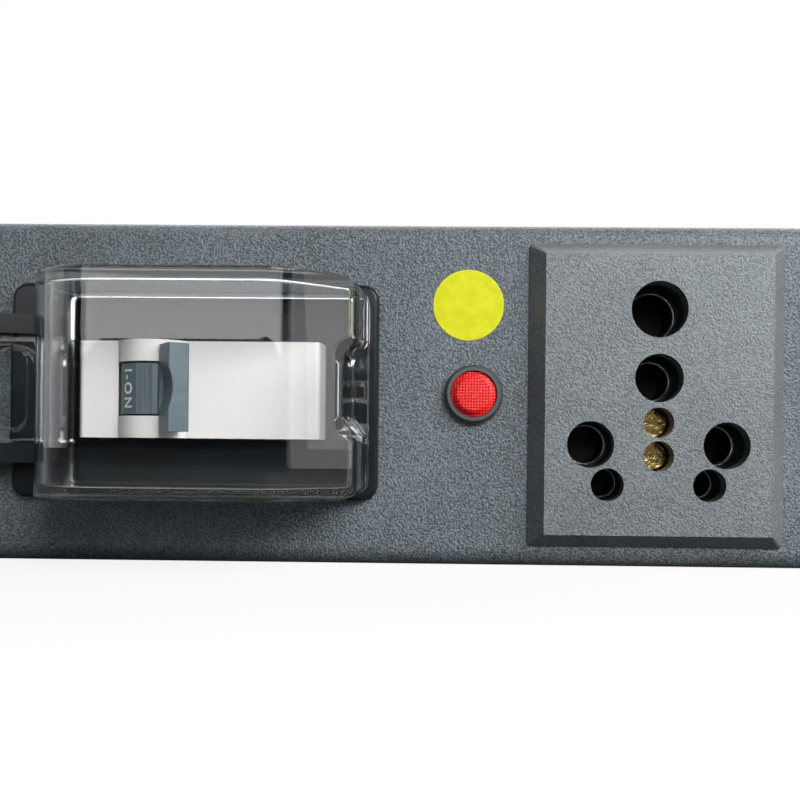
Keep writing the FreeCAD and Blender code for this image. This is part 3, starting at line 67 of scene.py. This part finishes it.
# Photograph: 800 by 800 pixels, taken close up and nearly along +Y
PHOTO_SIZE = 800
FOCAL_PIXELS = 938
CENTRE_PIXEL = (472.5, 446)
CAMERA_PLACE = (-82 * MM, -182 * MM, -9.9 * MM)
CAMERA_YAW = math.radians(1.07)
CAMERA_ROLL = math.radians(0.58)
SENSOR_WIDTH = 36

# Sticker beside the lamp, a bare disc
STICKER_CENTRE = (-86.4 * MM, 17.1 * MM)
STICKER_RADIUS = 6.8 * MM
STICKER_THICKNESS = 0.12 * MM
STICKER_SEGMENTS = 96

# Marks on the toggle's barrel, to the left of its top when ON and to the right when OFF, with cuts to bend at
BARREL_RADIUS = 6.8 * MM
MARK_SIZE = 2.8 * MM
MARK_SPACING = 1.3
MARK_BOLDNESS = 0.06 * MM
MARK_THICKNESS = 0.03 * MM
MARK_ANGLE = math.radians(33)
MARK_CUTS = 3

# Cool tint of the shine on black plastic and paint
COOL = (0.86, 0.95, 1.0, 1)

# Depths of the bright lips where the outlets' wells narrow to their pin holes
LIP_START_Y = 5.17 * MM
LIP_END_Y = 5.6 * MM

# Clear lid: slightly rounded edges, and the height of its lower wall, whose dark film casts painted shade under
# the lid
LID_EDGE = 0.8 * MM
LID_EDGE_SAMPLES = 6
LID_LOW_WALL = 2.2 * MM

# White surroundings that shiny edges reflect: how far forward they reach, as the Y part of their direction
GLINT_REACH = -0.35
GLINT_STRENGTH = 1.0
BACKDROP_STRENGTH = 1.0
FILL_STRENGTH = 0.02

# Floor: its colours for light that it throws back on the unit, its colour in the picture, and the share of
# that colour that doesn't depend on the lamps, so that the rest shows the shadow
FLOOR_REACH = 4.0
FLOOR_SPECK = 40 * MM
FLOOR_BOUNCE = ((0.11, 0.11, 0.11), (0.13, 0.13, 0.13))
FLOOR_SEEN = (0.9, 0.9, 0.9)
FLOOR_GLOW = 0.86

# Lamps: name, place in metres, turn about each axis in degrees, size in metres and power in watts
LAMPS = [
    ("key", (0.24, -0.42, 0.27), (63, 0, 37), (0.6, 0.25), 6.8),
    ("front_card", (-0.2, -0.9, 0.2), (90, 0, 0), (1.6, 0.19), 3.8),
    ("right_card", (0.6, -0.25, 0.0), (90, 0, 70), (0.3, 0.42), 0.56),
    ("rear_lamp", (0, 0.6, 0.55), (-47.5, 0, 0), (1.2, 0.4), 6.0),
]

# Lamps that show in shiny surfaces only
MIRRORED_LAMPS = ("front_card",)

# Screws with a crowned head, a chamfered tip and a cross recess, each turned by its distance from the middle
HEAD_RADIUS = 2.75 * MM
HEAD_HEIGHT = 1.8 * MM
CROWN = HEAD_HEIGHT / 4
CROWN_STEPS = 4
SHANK_RADIUS = 1.5 * MM
TIP_LENGTH = 0.4 * MM
TIP_SHARE = 0.8
SCREW_SEGMENTS = 32
SCREW_SPIN = 200
CROSS_HALF_WIDTH = 0.4 * MM
CROSS_REACH = 1.45 * MM
CROSS_DEPTH = 1.1 * MM

# Cutter of the cross: how far it stands out of the head, and its share of the width at its foot and its top
CROSS_PAST = CROSS_DEPTH / 9
CROSS_TAPER = (0.6, 1.1)

# Meshes: edges past this angle stay sharp, closer points are one point, and lengths agree to these digits
SHARP_ANGLE = math.radians(35)
WELD_DISTANCE = 0.001 * MM
LENGTH_DIGITS = 6

# Width of one band of the Wave texture at a scale of 1
WAVE_PERIOD = math.pi / 10


# Shader building blocks

class Shader:
    """Node tree of one material, with a Principled shader and textures in the object's own metres."""

    def __init__(self, name):
        self.material = bpy.data.materials.new(name)
        self.material.use_nodes = True
        self.tree = self.material.node_tree
        self.tree.nodes.clear()
        self.output = self.add("ShaderNodeOutputMaterial")
        self.surface = self.add("ShaderNodeBsdfPrincipled")
        self.link(self.surface.outputs["BSDF"], self.output.inputs["Surface"])
        self.place = self.add("ShaderNodeTexCoord").outputs["Object"]

    def add(self, kind, **settings):
        node = self.tree.nodes.new(kind)
        for key, value in settings.items():
            setattr(node, key, value)
        return node

    def link(self, source, target):
        self.tree.links.new(source, target)

    def set(self, **sockets):
        """Constant values on the Principled shader, by socket name with spaces written as _."""
        for key, value in sockets.items():
            self.surface.inputs[key.replace("_", " ")].default_value = value

    def stretched(self, scale):
        """Texture place scaled along each axis."""
        mapping = self.add("ShaderNodeMapping")
        mapping.inputs["Scale"].default_value = scale
        self.link(self.place, mapping.inputs["Vector"])
        return mapping.outputs["Vector"]

    def noise(self, grain, detail=3.0, place=None):
        """Noise whose grains are about this wide, in metres."""
        node = self.add("ShaderNodeTexNoise")
        node.inputs["Scale"].default_value = 1 / grain
        node.inputs["Detail"].default_value = detail
        self.link(place or self.place, node.inputs["Vector"])
        return node.outputs["Fac"]

    def bands(self, width, axis):
        """Even bands of this width along one axis."""
        node = self.add("ShaderNodeTexWave", bands_direction=axis)
        node.inputs["Scale"].default_value = WAVE_PERIOD / width
        self.link(self.place, node.inputs["Vector"])
        return node.outputs["Fac"]

    def ramp(self, source, colours, stops=(0.35, 0.65)):
        """Colour between two colours, by a source that runs between the two stops."""
        node = self.add("ShaderNodeValToRGB")
        for element, colour, stop in zip(node.color_ramp.elements, colours, stops):
            element.color = (*colour, 1)
            element.position = stop
        self.link(source, node.inputs["Fac"])
        return node.outputs["Color"]

    def blend(self, share, source, colour):
        """Colour of a source, with another colour over it by a share from 0 to 1."""
        # Inputs 6 and 7 and output 2 are the Mix node's colours
        node = self.add("ShaderNodeMix", data_type="RGBA")
        self.link(share, node.inputs["Factor"])
        self.link(source, node.inputs[6])
        node.inputs[7].default_value = (*colour, 1)
        return node.outputs[2]

    def spread(self, source, low, high):
        """Number between low and high, by a source from 0 to 1."""
        node = self.add("ShaderNodeMapRange")
        node.inputs["To Min"].default_value = low
        node.inputs["To Max"].default_value = high
        self.link(source, node.inputs["Value"])
        return node.outputs["Result"]

    def math(self, operation, first, second):
        """Result of a sum or comparison of two numbers or sources."""
        node = self.add("ShaderNodeMath", operation=operation)
        for value, socket in zip((first, second), node.inputs):
            if isinstance(value, (int, float)):
                socket.default_value = value
            else:
                self.link(value, socket)
        return node.outputs["Value"]

    def weighted(self, first, second, share):
        """Mean of two sources, by the share of the first."""
        rest = self.math("MULTIPLY", second, 1 - share)
        return self.math("ADD", self.math("MULTIPLY", first, share), rest)

    def part(self, source, axis):
        """Part of a place or direction along one axis."""
        node = self.add("ShaderNodeSeparateXYZ")
        self.link(source, node.inputs["Vector"])
        return node.outputs[axis]

    def bump(self, source, height, strength=1.0, below=None):
        """Relief of this height, in metres, over the relief below it."""
        node = self.add("ShaderNodeBump")
        node.inputs["Distance"].default_value = height
        node.inputs["Strength"].default_value = strength
        self.link(source, node.inputs["Height"])
        if below:
            self.link(below, node.inputs["Normal"])
        return node.outputs["Normal"]

    def colour(self, source):
        self.link(source, self.surface.inputs["Base Color"])

    def rough(self, source):
        self.link(source, self.surface.inputs["Roughness"])

    def normal(self, source):
        self.link(source, self.surface.inputs["Normal"])

    def cover(self, share, other):
        """Lays another shader over the Principled shader by a share from 0 to 1."""
        mix = self.add("ShaderNodeMixShader")
        self.link(share, mix.inputs["Fac"])
        self.link(self.surface.outputs["BSDF"], mix.inputs[1])
        self.link(other, mix.inputs[2])
        self.link(mix.outputs["Shader"], self.output.inputs["Surface"])


def shade(colour, factor):
    """Colour made darker or lighter by a factor."""
    return tuple(min(1.0, channel * factor) for channel in colour)


# Materials

def powder_coat():
    """Black powder coat with a fine pebbled texture."""
    shader = Shader("powder_coat")
    base = (0.088, 0.102, 0.112)
    pebbles = shader.noise(0.42 * MM, detail=2.0)
    dust = shader.noise(0.2 * MM, detail=2.0)
    patches = shader.noise(25 * MM, detail=2.0)
    fleck = shader.math("ADD", pebbles, shader.math("MULTIPLY", patches, 0.2))
    shader.colour(shader.ramp(fleck, (shade(base, 0.42), shade(base, 1.85)), (0.45, 0.82)))
    shader.rough(shader.spread(dust, 0.42, 0.54))
    shader.set(Specular_IOR_Level=0.5, Specular_Tint=COOL)
    coarse = shader.bump(pebbles, 0.28 * MM, strength=0.9)
    shader.normal(shader.bump(dust, 0.04 * MM, strength=0.7, below=coarse))
    return shader.material


def moulded(name, base, grain=0.35 * MM, relief=0.03 * MM, rough=(0.42, 0.55), contrast=0.12, shine=0.5):
    """Moulded plastic with spark-eroded grain and slight mottling."""
    shader = Shader(name)
    fine = shader.noise(grain, detail=3.0)
    mottle = shader.noise(14 * MM, detail=3.0)
    mix = shader.weighted(fine, mottle, 0.6)
    shader.colour(shader.ramp(mix, (shade(base, 1 - contrast), shade(base, 1 + contrast))))
    shader.rough(shader.spread(fine, *rough))
    shader.set(Specular_IOR_Level=shine)
    shader.normal(shader.bump(fine, relief, strength=0.6))
    return shader.material


def outlet_plastic():
    """Black moulded outlet: spark-eroded grain in front, dull wells painted near black as painted shade, and
    bright lips at the pin holes.
    """
    shader = Shader("outlet_black")
    base = (0.110, 0.120, 0.125)
    grain = shader.noise(0.36 * MM, detail=2.0)
    mottle = shader.noise(14 * MM, detail=3.0)
    mix = shader.weighted(grain, mottle, 0.8)
    front = shader.ramp(mix, (shade(base, 0.55), shade(base, 1.5)))
    panel_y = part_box("front_channel")[0][1]
    depth = shader.part(shader.place, "Y")
    inside = shader.math("GREATER_THAN", depth, panel_y)
    lip = shader.math("MULTIPLY", shader.math("GREATER_THAN", depth, LIP_START_Y),
                      shader.math("LESS_THAN", depth, LIP_END_Y))
    # Everything deeper than the front panel is painted near black: painted shade in the deep wells.
    painted_well_shade = shader.blend(inside, front, (0.004, 0.004, 0.005))
    shader.colour(shader.blend(lip, painted_well_shade, (0.95, 0.94, 0.91)))
    shader.link(lip, shader.surface.inputs["Metallic"])
    outside = shader.math("SUBTRACT", 1.0, inside)
    dull = shader.math("SUBTRACT", 0.7, shader.math("MULTIPLY", lip, 0.35))
    shine = shader.math("MULTIPLY", outside, shader.spread(grain, 0.32, 0.2))
    shader.rough(shader.math("SUBTRACT", dull, shine))
    shader.set(Specular_IOR_Level=0.5, Specular_Tint=COOL)
    relief = shader.math("MULTIPLY", outside, grain)
    shader.normal(shader.bump(relief, 0.2 * MM, strength=0.7))
    return shader.material


def plated(name, base, rough=(0.22, 0.38), along=(1, 1, 1), patch=6 * MM, dent=0.02 * MM):
    """Metal with fine drawing lines, slight dents and patchy shine."""
    shader = Shader(name)
    lines = shader.noise(0.25 * MM, detail=4.0, place=shader.stretched(along))
    patches = shader.noise(patch, detail=3.0)
    shader.set(Metallic=1.0)
    shader.colour(shader.ramp(patches, (shade(base, 0.82), shade(base, 1.08))))
    shader.rough(shader.spread(lines, *rough))
    shader.normal(shader.bump(lines, 0.01 * MM, strength=0.5, below=shader.bump(patches, dent)))
    return shader.material


def clear_plastic():
    """Clear lid that lets lamps through its front, less through its steep walls and least at its foot, where a
    dark film casts painted shade under the lid.
    """
    shader = Shader("clear_plastic")
    shader.set(Transmission_Weight=1.0, IOR=1.42)
    haze = shader.noise(9 * MM, detail=3.0)
    shader.colour(shader.ramp(haze, ((0.94, 0.96, 0.97), (0.98, 0.99, 0.99))))
    shader.rough(shader.spread(haze, 0.0, 0.02))
    edges = shader.add("ShaderNodeBevel", samples=LID_EDGE_SAMPLES)
    edges.inputs["Radius"].default_value = LID_EDGE
    shader.normal(edges.outputs["Normal"])
    facing = shader.part(shader.add("ShaderNodeTexCoord").outputs["Normal"], "Y")
    forward = shader.math("MAXIMUM", facing, shader.math("MULTIPLY", facing, -1.0))
    film = shader.add("ShaderNodeBsdfTransparent")
    height = shader.part(shader.place, "Z")
    # The lower wall's film passes almost no lamp light: a painted shadow under the lid.
    low = shader.math("LESS_THAN", height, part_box("window_lid")[0][2] + LID_LOW_WALL)
    # Steep walls pass less lamp light than clear plastic, partly slant loss and partly painted shade.
    clear = shader.ramp(forward, ((0.5, 0.52, 0.54), (0.93, 0.95, 0.96)), (0.3, 0.7))
    shader.link(shader.blend(low, clear, (0.08, 0.09, 0.10)), film.inputs["Color"])
    path = shader.add("ShaderNodeLightPath")
    passing = shader.math("MAXIMUM", path.outputs["Is Shadow Ray"], path.outputs["Is Diffuse Ray"])
    shader.cover(passing, film.outputs["BSDF"])
    return shader.material


def lamp_lens():
    """Red lens with a fine moulded grid."""
    shader = Shader("lamp_red")
    pitch = 0.55 * MM
    grid = shader.math("MULTIPLY", shader.bands(pitch, "X"), shader.bands(pitch, "Z"))
    shader.colour(shader.ramp(grid, ((0.58, 0.006, 0.006), (0.86, 0.014, 0.014)), (0.0, 0.7)))
    shader.rough(shader.spread(grid, 0.30, 0.18))
    shader.set(Subsurface_Weight=0.15, Specular_IOR_Level=0.35)
    shader.surface.inputs["Subsurface Radius"].default_value = (0.002, 0.0003, 0.0002)
    shader.normal(shader.bump(grid, 0.12 * MM, strength=0.8))
    return shader.material


def sticker_foil():
    """Yellow foil sticker with a faint crinkle."""
    shader = Shader("sticker_yellow")
    crinkle = shader.noise(1.6 * MM, detail=4.0)
    shader.colour(shader.ramp(crinkle, ((0.54, 0.54, 0.012), (0.61, 0.61, 0.018))))
    shader.rough(shader.spread(crinkle, 0.28, 0.42))
    shader.set(Specular_IOR_Level=0.08)
    shader.normal(shader.bump(crinkle, 0.02 * MM, strength=0.5))
    return shader.material


def bulb_glass():
    """Clear glass of the neon bulb."""
    shader = Shader("bulb_glass")
    shader.set(Transmission_Weight=0.9, IOR=1.5)
    tint = shader.noise(2 * MM, detail=2.0)
    shader.colour(shader.ramp(tint, ((0.95, 0.82, 0.75), (1.0, 0.92, 0.86))))
    shader.rough(shader.spread(tint, 0.02, 0.08))
    return shader.material


def record_materials():
    """Material of every slot in the record."""
    return {
        "powder_coat": powder_coat(),
        "screw_steel": plated("screw_steel", (0.52, 0.53, 0.55)),
        "rail_steel": plated("rail_steel", (0.62, 0.62, 0.60), along=(1, 1, 0.05)),
        "window_black": moulded("window_black", (0.009, 0.012, 0.014), relief=0.008 * MM, rough=(0.16, 0.26),
                                shine=0.15),
        "clear_plastic": clear_plastic(),
        "breaker_white": moulded("breaker_white", (0.88, 0.825, 0.79), relief=0.01 * MM, contrast=0.03),
        "toggle_grey": moulded("toggle_grey", (0.088, 0.121, 0.136), relief=0.015 * MM, rough=(0.3, 0.42)),
        "clip_grey": moulded("clip_grey", (0.42, 0.43, 0.44)),
        "brass": plated("brass", (0.36, 0.26, 0.10), rough=(0.1, 0.25), patch=2.2 * MM, dent=0.3 * MM),
        # Contacts nearly black: painted shade of the deep wells over tarnished bronze.
        "contact_bronze": plated("contact_bronze", (0.02, 0.018, 0.016), rough=(0.35, 0.5)),
        "lamp_black": moulded("lamp_black", (0.045, 0.047, 0.052), relief=0.004 * MM, rough=(0.3, 0.38)),
        "lamp_red": lamp_lens(),
        "bulb_glass": bulb_glass(),
        "copper": plated("copper", (0.80, 0.42, 0.28), along=(0.05, 1, 1)),
        "line_red": moulded("line_red", (0.42, 0.03, 0.03), rough=(0.35, 0.5)),
        "neutral_black": moulded("neutral_black", (0.03, 0.03, 0.032), rough=(0.35, 0.5)),
        "earth_green": moulded("earth_green", (0.04, 0.26, 0.07), rough=(0.35, 0.5)),
        "block_ivory": moulded("block_ivory", (0.72, 0.69, 0.58)),
        "gland_black": moulded("gland_black", (0.035, 0.035, 0.038)),
        "seal_rubber": moulded("seal_rubber", (0.02, 0.02, 0.02), rough=(0.6, 0.75)),
        "outlet_black": outlet_plastic(),
    }


def dress_nodes(materials):
    """Every CAD node gets the material of its slot."""
    for part in frame["record"]["subparts"]:
        slots = NODES[part["node"]].material_slots
        for slot in slots:
            slot.link = "OBJECT"
            slot.material = materials[part["material_slot"]]


# Pieces

def piece(name, mesh, material, body):
    """New object that rides on a body."""
    obj = bpy.data.objects.new(name, mesh)
    bpy.context.scene.collection.objects.link(obj)
    obj.data.materials.append(material)
    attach(obj, body)
    return obj


def finished_mesh(name, shape):
    """Smooth-shaded mesh of a bmesh shape."""
    mesh = bpy.data.meshes.new(name)
    shape.to_mesh(mesh)
    shape.free()
    mesh.shade_smooth()
    mesh.set_sharp_from_angle(angle=SHARP_ANGLE)
    return mesh


def turned(shape, profile, segments):
    """Ring faces about Z through pairs of radius and height. A radius of 0 closes the form."""
    rings = []
    for radius, height in profile:
        if radius == 0:
            rings.append([shape.verts.new((0, 0, height))])
            continue
        ring = []
        for step in range(segments):
            turn = 2 * math.pi * step / segments
            ring.append(shape.verts.new((radius * math.cos(turn), radius * math.sin(turn), height)))
        rings.append(ring)
    for lower, upper in zip(rings, rings[1:]):
        for step in range(segments):
            after = (step + 1) % segments
            corners = [lower[step % len(lower)], lower[after % len(lower)],
                       upper[after % len(upper)], upper[step % len(upper)]]
            shape.faces.new(list(dict.fromkeys(corners)))


def sticker():
    """Bare round sticker with a softened rim, flat on the front panel."""
    panel_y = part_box("front_channel")[0][1]
    rim = STICKER_THICKNESS / 2
    shape = bmesh.new()
    turned(shape, [(0, 0), (STICKER_RADIUS, 0), (STICKER_RADIUS, rim),
                   (STICKER_RADIUS - rim, STICKER_THICKNESS), (0, STICKER_THICKNESS)], STICKER_SEGMENTS)
    bmesh.ops.recalc_face_normals(shape, faces=shape.faces)
    facing = Matrix.Rotation(math.radians(90), 4, "X")
    place = Matrix.Translation((STICKER_CENTRE[0], panel_y, STICKER_CENTRE[1]))
    shape.transform(place @ facing)
    return piece("yellow_sticker", finished_mesh("yellow_sticker", shape), sticker_foil(), CHASSIS)


def joint_place(name):
    """Point on a joint's axis."""
    return next(joint["pos_m"] for joint in frame["joints"] if joint["name"] == name)


def joint_travel(name):
    """Angle between the limits of a hinge."""
    low, high = next(joint["range_deg"] for joint in frame["joints"] if joint["name"] == name)
    return math.radians(high - low)


def divide(mesh, cuts):
    """Splits every edge of a flat mesh, so that it can be bent."""
    shape = bmesh.new()
    shape.from_mesh(mesh)
    bmesh.ops.triangulate(shape, faces=shape.faces)
    bmesh.ops.subdivide_edges(shape, edges=shape.edges, cuts=cuts, use_grid_fill=True)
    shape.to_mesh(mesh)
    shape.free()


def barrel_mark(name, words, angle, material):
    """Printed words that read downward, wrapped on the toggle's barrel at an angle from the front."""
    curve = bpy.data.curves.new(name, "FONT")
    curve.body = words
    curve.size = MARK_SIZE
    curve.space_character = MARK_SPACING
    curve.offset = MARK_BOLDNESS
    curve.align_x = "CENTER"
    curve.align_y = "CENTER"
    curve.extrude = MARK_THICKNESS
    flat = bpy.data.objects.new(name, curve)
    mesh = bpy.data.meshes.new_from_object(flat)
    bpy.data.objects.remove(flat)
    divide(mesh, MARK_CUTS)
    axis_x, axis_y, _ = joint_place("toggle_swing")
    for vertex in mesh.vertices:
        along, up, proud = vertex.co
        reach = BARREL_RADIUS + proud
        turn = angle + up / BARREL_RADIUS
        vertex.co = (axis_x + reach * math.sin(turn), axis_y - reach * math.cos(turn), -along)
    return piece(name, mesh, material, TOGGLE)


def toggle_marks():
    """ON and OFF marks of the breaker. OFF faces forward once the toggle is swung over."""
    paint = moulded("mark_white", (0.78, 0.80, 0.80), relief=0.005 * MM, contrast=0.04)
    barrel_mark("toggle_mark_on", "I-ON", -MARK_ANGLE, paint)
    barrel_mark("toggle_mark_off", "O-OFF", MARK_ANGLE + joint_travel("toggle_swing"), paint)


def join(shape, addition):
    """Adds one bmesh to another and frees it."""
    mesh = bpy.data.meshes.new("addition")
    addition.to_mesh(mesh)
    addition.free()
    shape.from_mesh(mesh)
    bpy.data.meshes.remove(mesh)


def islands(node):
    """Corner pairs of every separate solid in a CAD node."""
    shape = bmesh.new()
    shape.from_mesh(NODES[node].data)
    bmesh.ops.remove_doubles(shape, verts=shape.verts, dist=WELD_DISTANCE)
    unseen = set(shape.verts)
    boxes = []
    while unseen:
        waiting = [unseen.pop()]
        members = []
        while waiting:
            vertex = waiting.pop()
            members.append(vertex.co.copy())
            for edge in vertex.link_edges:
                other = edge.other_vert(vertex)
                if other in unseen:
                    unseen.remove(other)
                    waiting.append(other)
        low = Vector(min(point[axis] for point in members) for axis in range(3))
        high = Vector(max(point[axis] for point in members) for axis in range(3))
        boxes.append((low, high))
    shape.free()
    return boxes


def screw_shape(length):
    """Pan-head screw along Z with its seat at 0, a domed head and a cross recess."""
    shape = bmesh.new()
    rim = HEAD_RADIUS - CROWN
    side = HEAD_HEIGHT - 2 * CROWN
    profile = [(0, -length), (SHANK_RADIUS * TIP_SHARE, -length), (SHANK_RADIUS, TIP_LENGTH - length),
               (SHANK_RADIUS, 0), (HEAD_RADIUS, 0), (HEAD_RADIUS, side)]
    for step in range(1, CROWN_STEPS + 1):
        turn = math.radians(90) * step / CROWN_STEPS
        profile.append((rim + CROWN * math.cos(turn), side + 2 * CROWN * math.sin(turn)))
    profile.append((0, HEAD_HEIGHT))
    turned(shape, profile, SCREW_SEGMENTS)
    bmesh.ops.recalc_face_normals(shape, faces=shape.faces)
    return shape


def cross_shape():
    """Tapered cross that cuts the recess."""
    shape = bmesh.new()
    arms = [(CROSS_HALF_WIDTH, CROSS_REACH), (CROSS_REACH, CROSS_HALF_WIDTH)]
    for half_x, half_y in arms:
        arm = bmesh.new()
        bmesh.ops.create_cube(arm, size=2)
        for vertex in arm.verts:
            at_top = vertex.co.z > 0
            taper = CROSS_TAPER[at_top]
            vertex.co.x *= half_x * taper
            vertex.co.y *= half_y * taper
            vertex.co.z = HEAD_HEIGHT + (CROSS_PAST if at_top else -CROSS_DEPTH)
        join(shape, arm)
    return shape


def recessed_screw(length):
    """Mesh of one screw with its recess cut."""
    holder = bpy.data.objects.new("screw_blank", finished_mesh("screw_blank", screw_shape(length)))
    cutter = bpy.data.objects.new("screw_cutter", finished_mesh("screw_cutter", cross_shape()))
    for obj in (holder, cutter):
        bpy.context.scene.collection.objects.link(obj)
    cut = holder.modifiers.new("recess", "BOOLEAN")
    cut.operation = "DIFFERENCE"
    cut.object = cutter
    cut.use_self = True
    graph = bpy.context.evaluated_depsgraph_get()
    mesh = bpy.data.meshes.new_from_object(holder.evaluated_get(graph))
    for obj in (holder, cutter):
        bpy.data.objects.remove(obj)
    return mesh


def cover_screws(material):
    """Cross-recessed pan-head screws in the places of the CAD screws."""
    boxes = islands("cover_screws")
    middle = (cad_box[0] + cad_box[1]) / 2
    shape = bmesh.new()
    blanks = {}
    for low, high in boxes:
        size = high - low
        axis = max(range(3), key=lambda place: size[place])
        centre = (low + high) / 2
        outward = Vector((0, 0, 0))
        outward[axis] = 1 if centre[axis] > middle[axis] else -1
        length = round(size[axis] - HEAD_HEIGHT, LENGTH_DIGITS)
        if length not in blanks:
            blanks[length] = recessed_screw(length)
        seat = centre + outward * (size[axis] / 2 - HEAD_HEIGHT)
        screw = bmesh.new()
        screw.from_mesh(blanks[length])
        spin = Matrix.Rotation(centre.length * SCREW_SPIN, 4, "Z")
        facing = outward.to_track_quat("Z", "Y").to_matrix().to_4x4()
        screw.transform(Matrix.Translation(seat) @ facing @ spin)
        join(shape, screw)
    obj = piece("cover_screw_set", finished_mesh("cover_screw_set", shape), material, CHASSIS)
    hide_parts("cover_screws")


# Lights, floor and camera

def area_light(name, place, turn, size, power):
    """Rectangular lamp, which shines down before its turn about each axis."""
    lamp = bpy.data.lights.new(name, "AREA")
    lamp.shape = "RECTANGLE"
    lamp.size, lamp.size_y = size
    lamp.energy = power
    obj = bpy.data.objects.new(name, lamp)
    obj.location = place
    obj.rotation_euler = [math.radians(angle) for angle in turn]
    obj.visible_diffuse = name not in MIRRORED_LAMPS
    bpy.context.scene.collection.objects.link(obj)


def lights():
    """Soft studio light: a key at the upper right, cards that the lid reflects, and a lamp for the rear."""
    for lamp in LAMPS:
        area_light(*lamp)


def combine(tree, operation, first, second):
    """Result of a sum or comparison of two sockets."""
    node = tree.nodes.new("ShaderNodeMath")
    node.operation = operation
    tree.links.new(first, node.inputs[0])
    tree.links.new(second, node.inputs[1])
    return node.outputs["Value"]


def background_ray(tree):
    """1 for rays that see the white background: camera rays, also through glass, before any bounce."""
    path = tree.nodes.new("ShaderNodeLightPath")
    bounces = combine(tree, "ADD", path.outputs["Glossy Depth"], path.outputs["Diffuse Depth"])
    through = combine(tree, "GREATER_THAN", path.outputs["Is Transmission Ray"], bounces)
    return combine(tree, "MAXIMUM", path.outputs["Is Camera Ray"], through)


def backdrop_glint(tree):
    """1 for shine that comes from behind the unit or from beside it."""
    path = tree.nodes.new("ShaderNodeLightPath")
    direction = tree.nodes.new("ShaderNodeSeparateXYZ")
    tree.links.new(tree.nodes.new("ShaderNodeTexCoord").outputs["Generated"], direction.inputs["Vector"])
    behind = tree.nodes.new("ShaderNodeMath")
    behind.operation = "GREATER_THAN"
    behind.inputs[1].default_value = GLINT_REACH
    tree.links.new(direction.outputs["Y"], behind.inputs[0])
    shiny = combine(tree, "MAXIMUM", path.outputs["Is Glossy Ray"], path.outputs["Is Transmission Ray"])
    return combine(tree, "MULTIPLY", shiny, behind.outputs["Value"])


def world_light():
    """Dim even light for the object, and white behind it, which its shiny edges reflect."""
    world = bpy.data.worlds.new("studio")
    world.use_nodes = True
    bpy.context.scene.world = world
    tree = world.node_tree
    backdrop = tree.nodes["Background"]
    glint = tree.nodes.new("ShaderNodeMapRange")
    glint.inputs["To Min"].default_value = FILL_STRENGTH
    glint.inputs["To Max"].default_value = GLINT_STRENGTH
    tree.links.new(backdrop_glint(tree), glint.inputs["Value"])
    strength = tree.nodes.new("ShaderNodeMapRange")
    strength.inputs["To Max"].default_value = BACKDROP_STRENGTH
    tree.links.new(glint.outputs["Result"], strength.inputs["To Min"])
    tree.links.new(background_ray(tree), strength.inputs["Value"])
    tree.links.new(strength.outputs["Result"], backdrop.inputs["Strength"])
    backdrop.inputs["Color"].default_value = (1, 1, 1, 1)


def floor():
    """Pale floor under the unit, nearly white to the camera, that keeps the shadow."""
    low = cad_box[0]
    shape = bmesh.new()
    corners = [(-1, -1), (1, -1), (1, 1), (-1, 1)]
    shape.faces.new([shape.verts.new((x * FLOOR_REACH, y * FLOOR_REACH, low[2])) for x, y in corners])
    mesh = bpy.data.meshes.new("floor")
    shape.to_mesh(mesh)
    shape.free()
    shader = Shader("floor_white")
    speck = shader.noise(FLOOR_SPECK, detail=2.0)
    seen = background_ray(shader.tree)
    shader.colour(shader.blend(seen, shader.ramp(speck, FLOOR_BOUNCE), FLOOR_SEEN))
    shader.set(Roughness=0.9)
    glow = shader.add("ShaderNodeEmission")
    shader.cover(shader.math("MULTIPLY", seen, FLOOR_GLOW), glow.outputs["Emission"])
    obj = bpy.data.objects.new("floor", mesh)
    obj.data.materials.append(shader.material)
    bpy.context.scene.collection.objects.link(obj)


def camera():
    """Camera of the photograph."""
    data = bpy.data.cameras.new("photo_camera")
    data.sensor_width = SENSOR_WIDTH
    data.lens = FOCAL_PIXELS / PHOTO_SIZE * SENSOR_WIDTH
    data.shift_x = (PHOTO_SIZE / 2 - CENTRE_PIXEL[0]) / PHOTO_SIZE
    data.shift_y = (CENTRE_PIXEL[1] - PHOTO_SIZE / 2) / PHOTO_SIZE
    data.clip_start = 10 * MM
    obj = bpy.data.objects.new("photo_camera", data)
    looking_along_y = Matrix.Rotation(math.radians(90), 4, "X")
    yaw = Matrix.Rotation(CAMERA_YAW, 4, "Z")
    roll = Matrix.Rotation(CAMERA_ROLL, 4, "Z")
    obj.matrix_world = Matrix.Translation(CAMERA_PLACE) @ yaw @ looking_along_y @ roll
    bpy.context.scene.collection.objects.link(obj)
    bpy.context.scene.camera = obj


# Whole scene

bpy.context.scene.view_settings.view_transform = "Standard"
materials = record_materials()
dress_nodes(materials)
sticker()
toggle_marks()
cover_screws(materials["screw_steel"])
world_light()
lights()
floor()
camera()
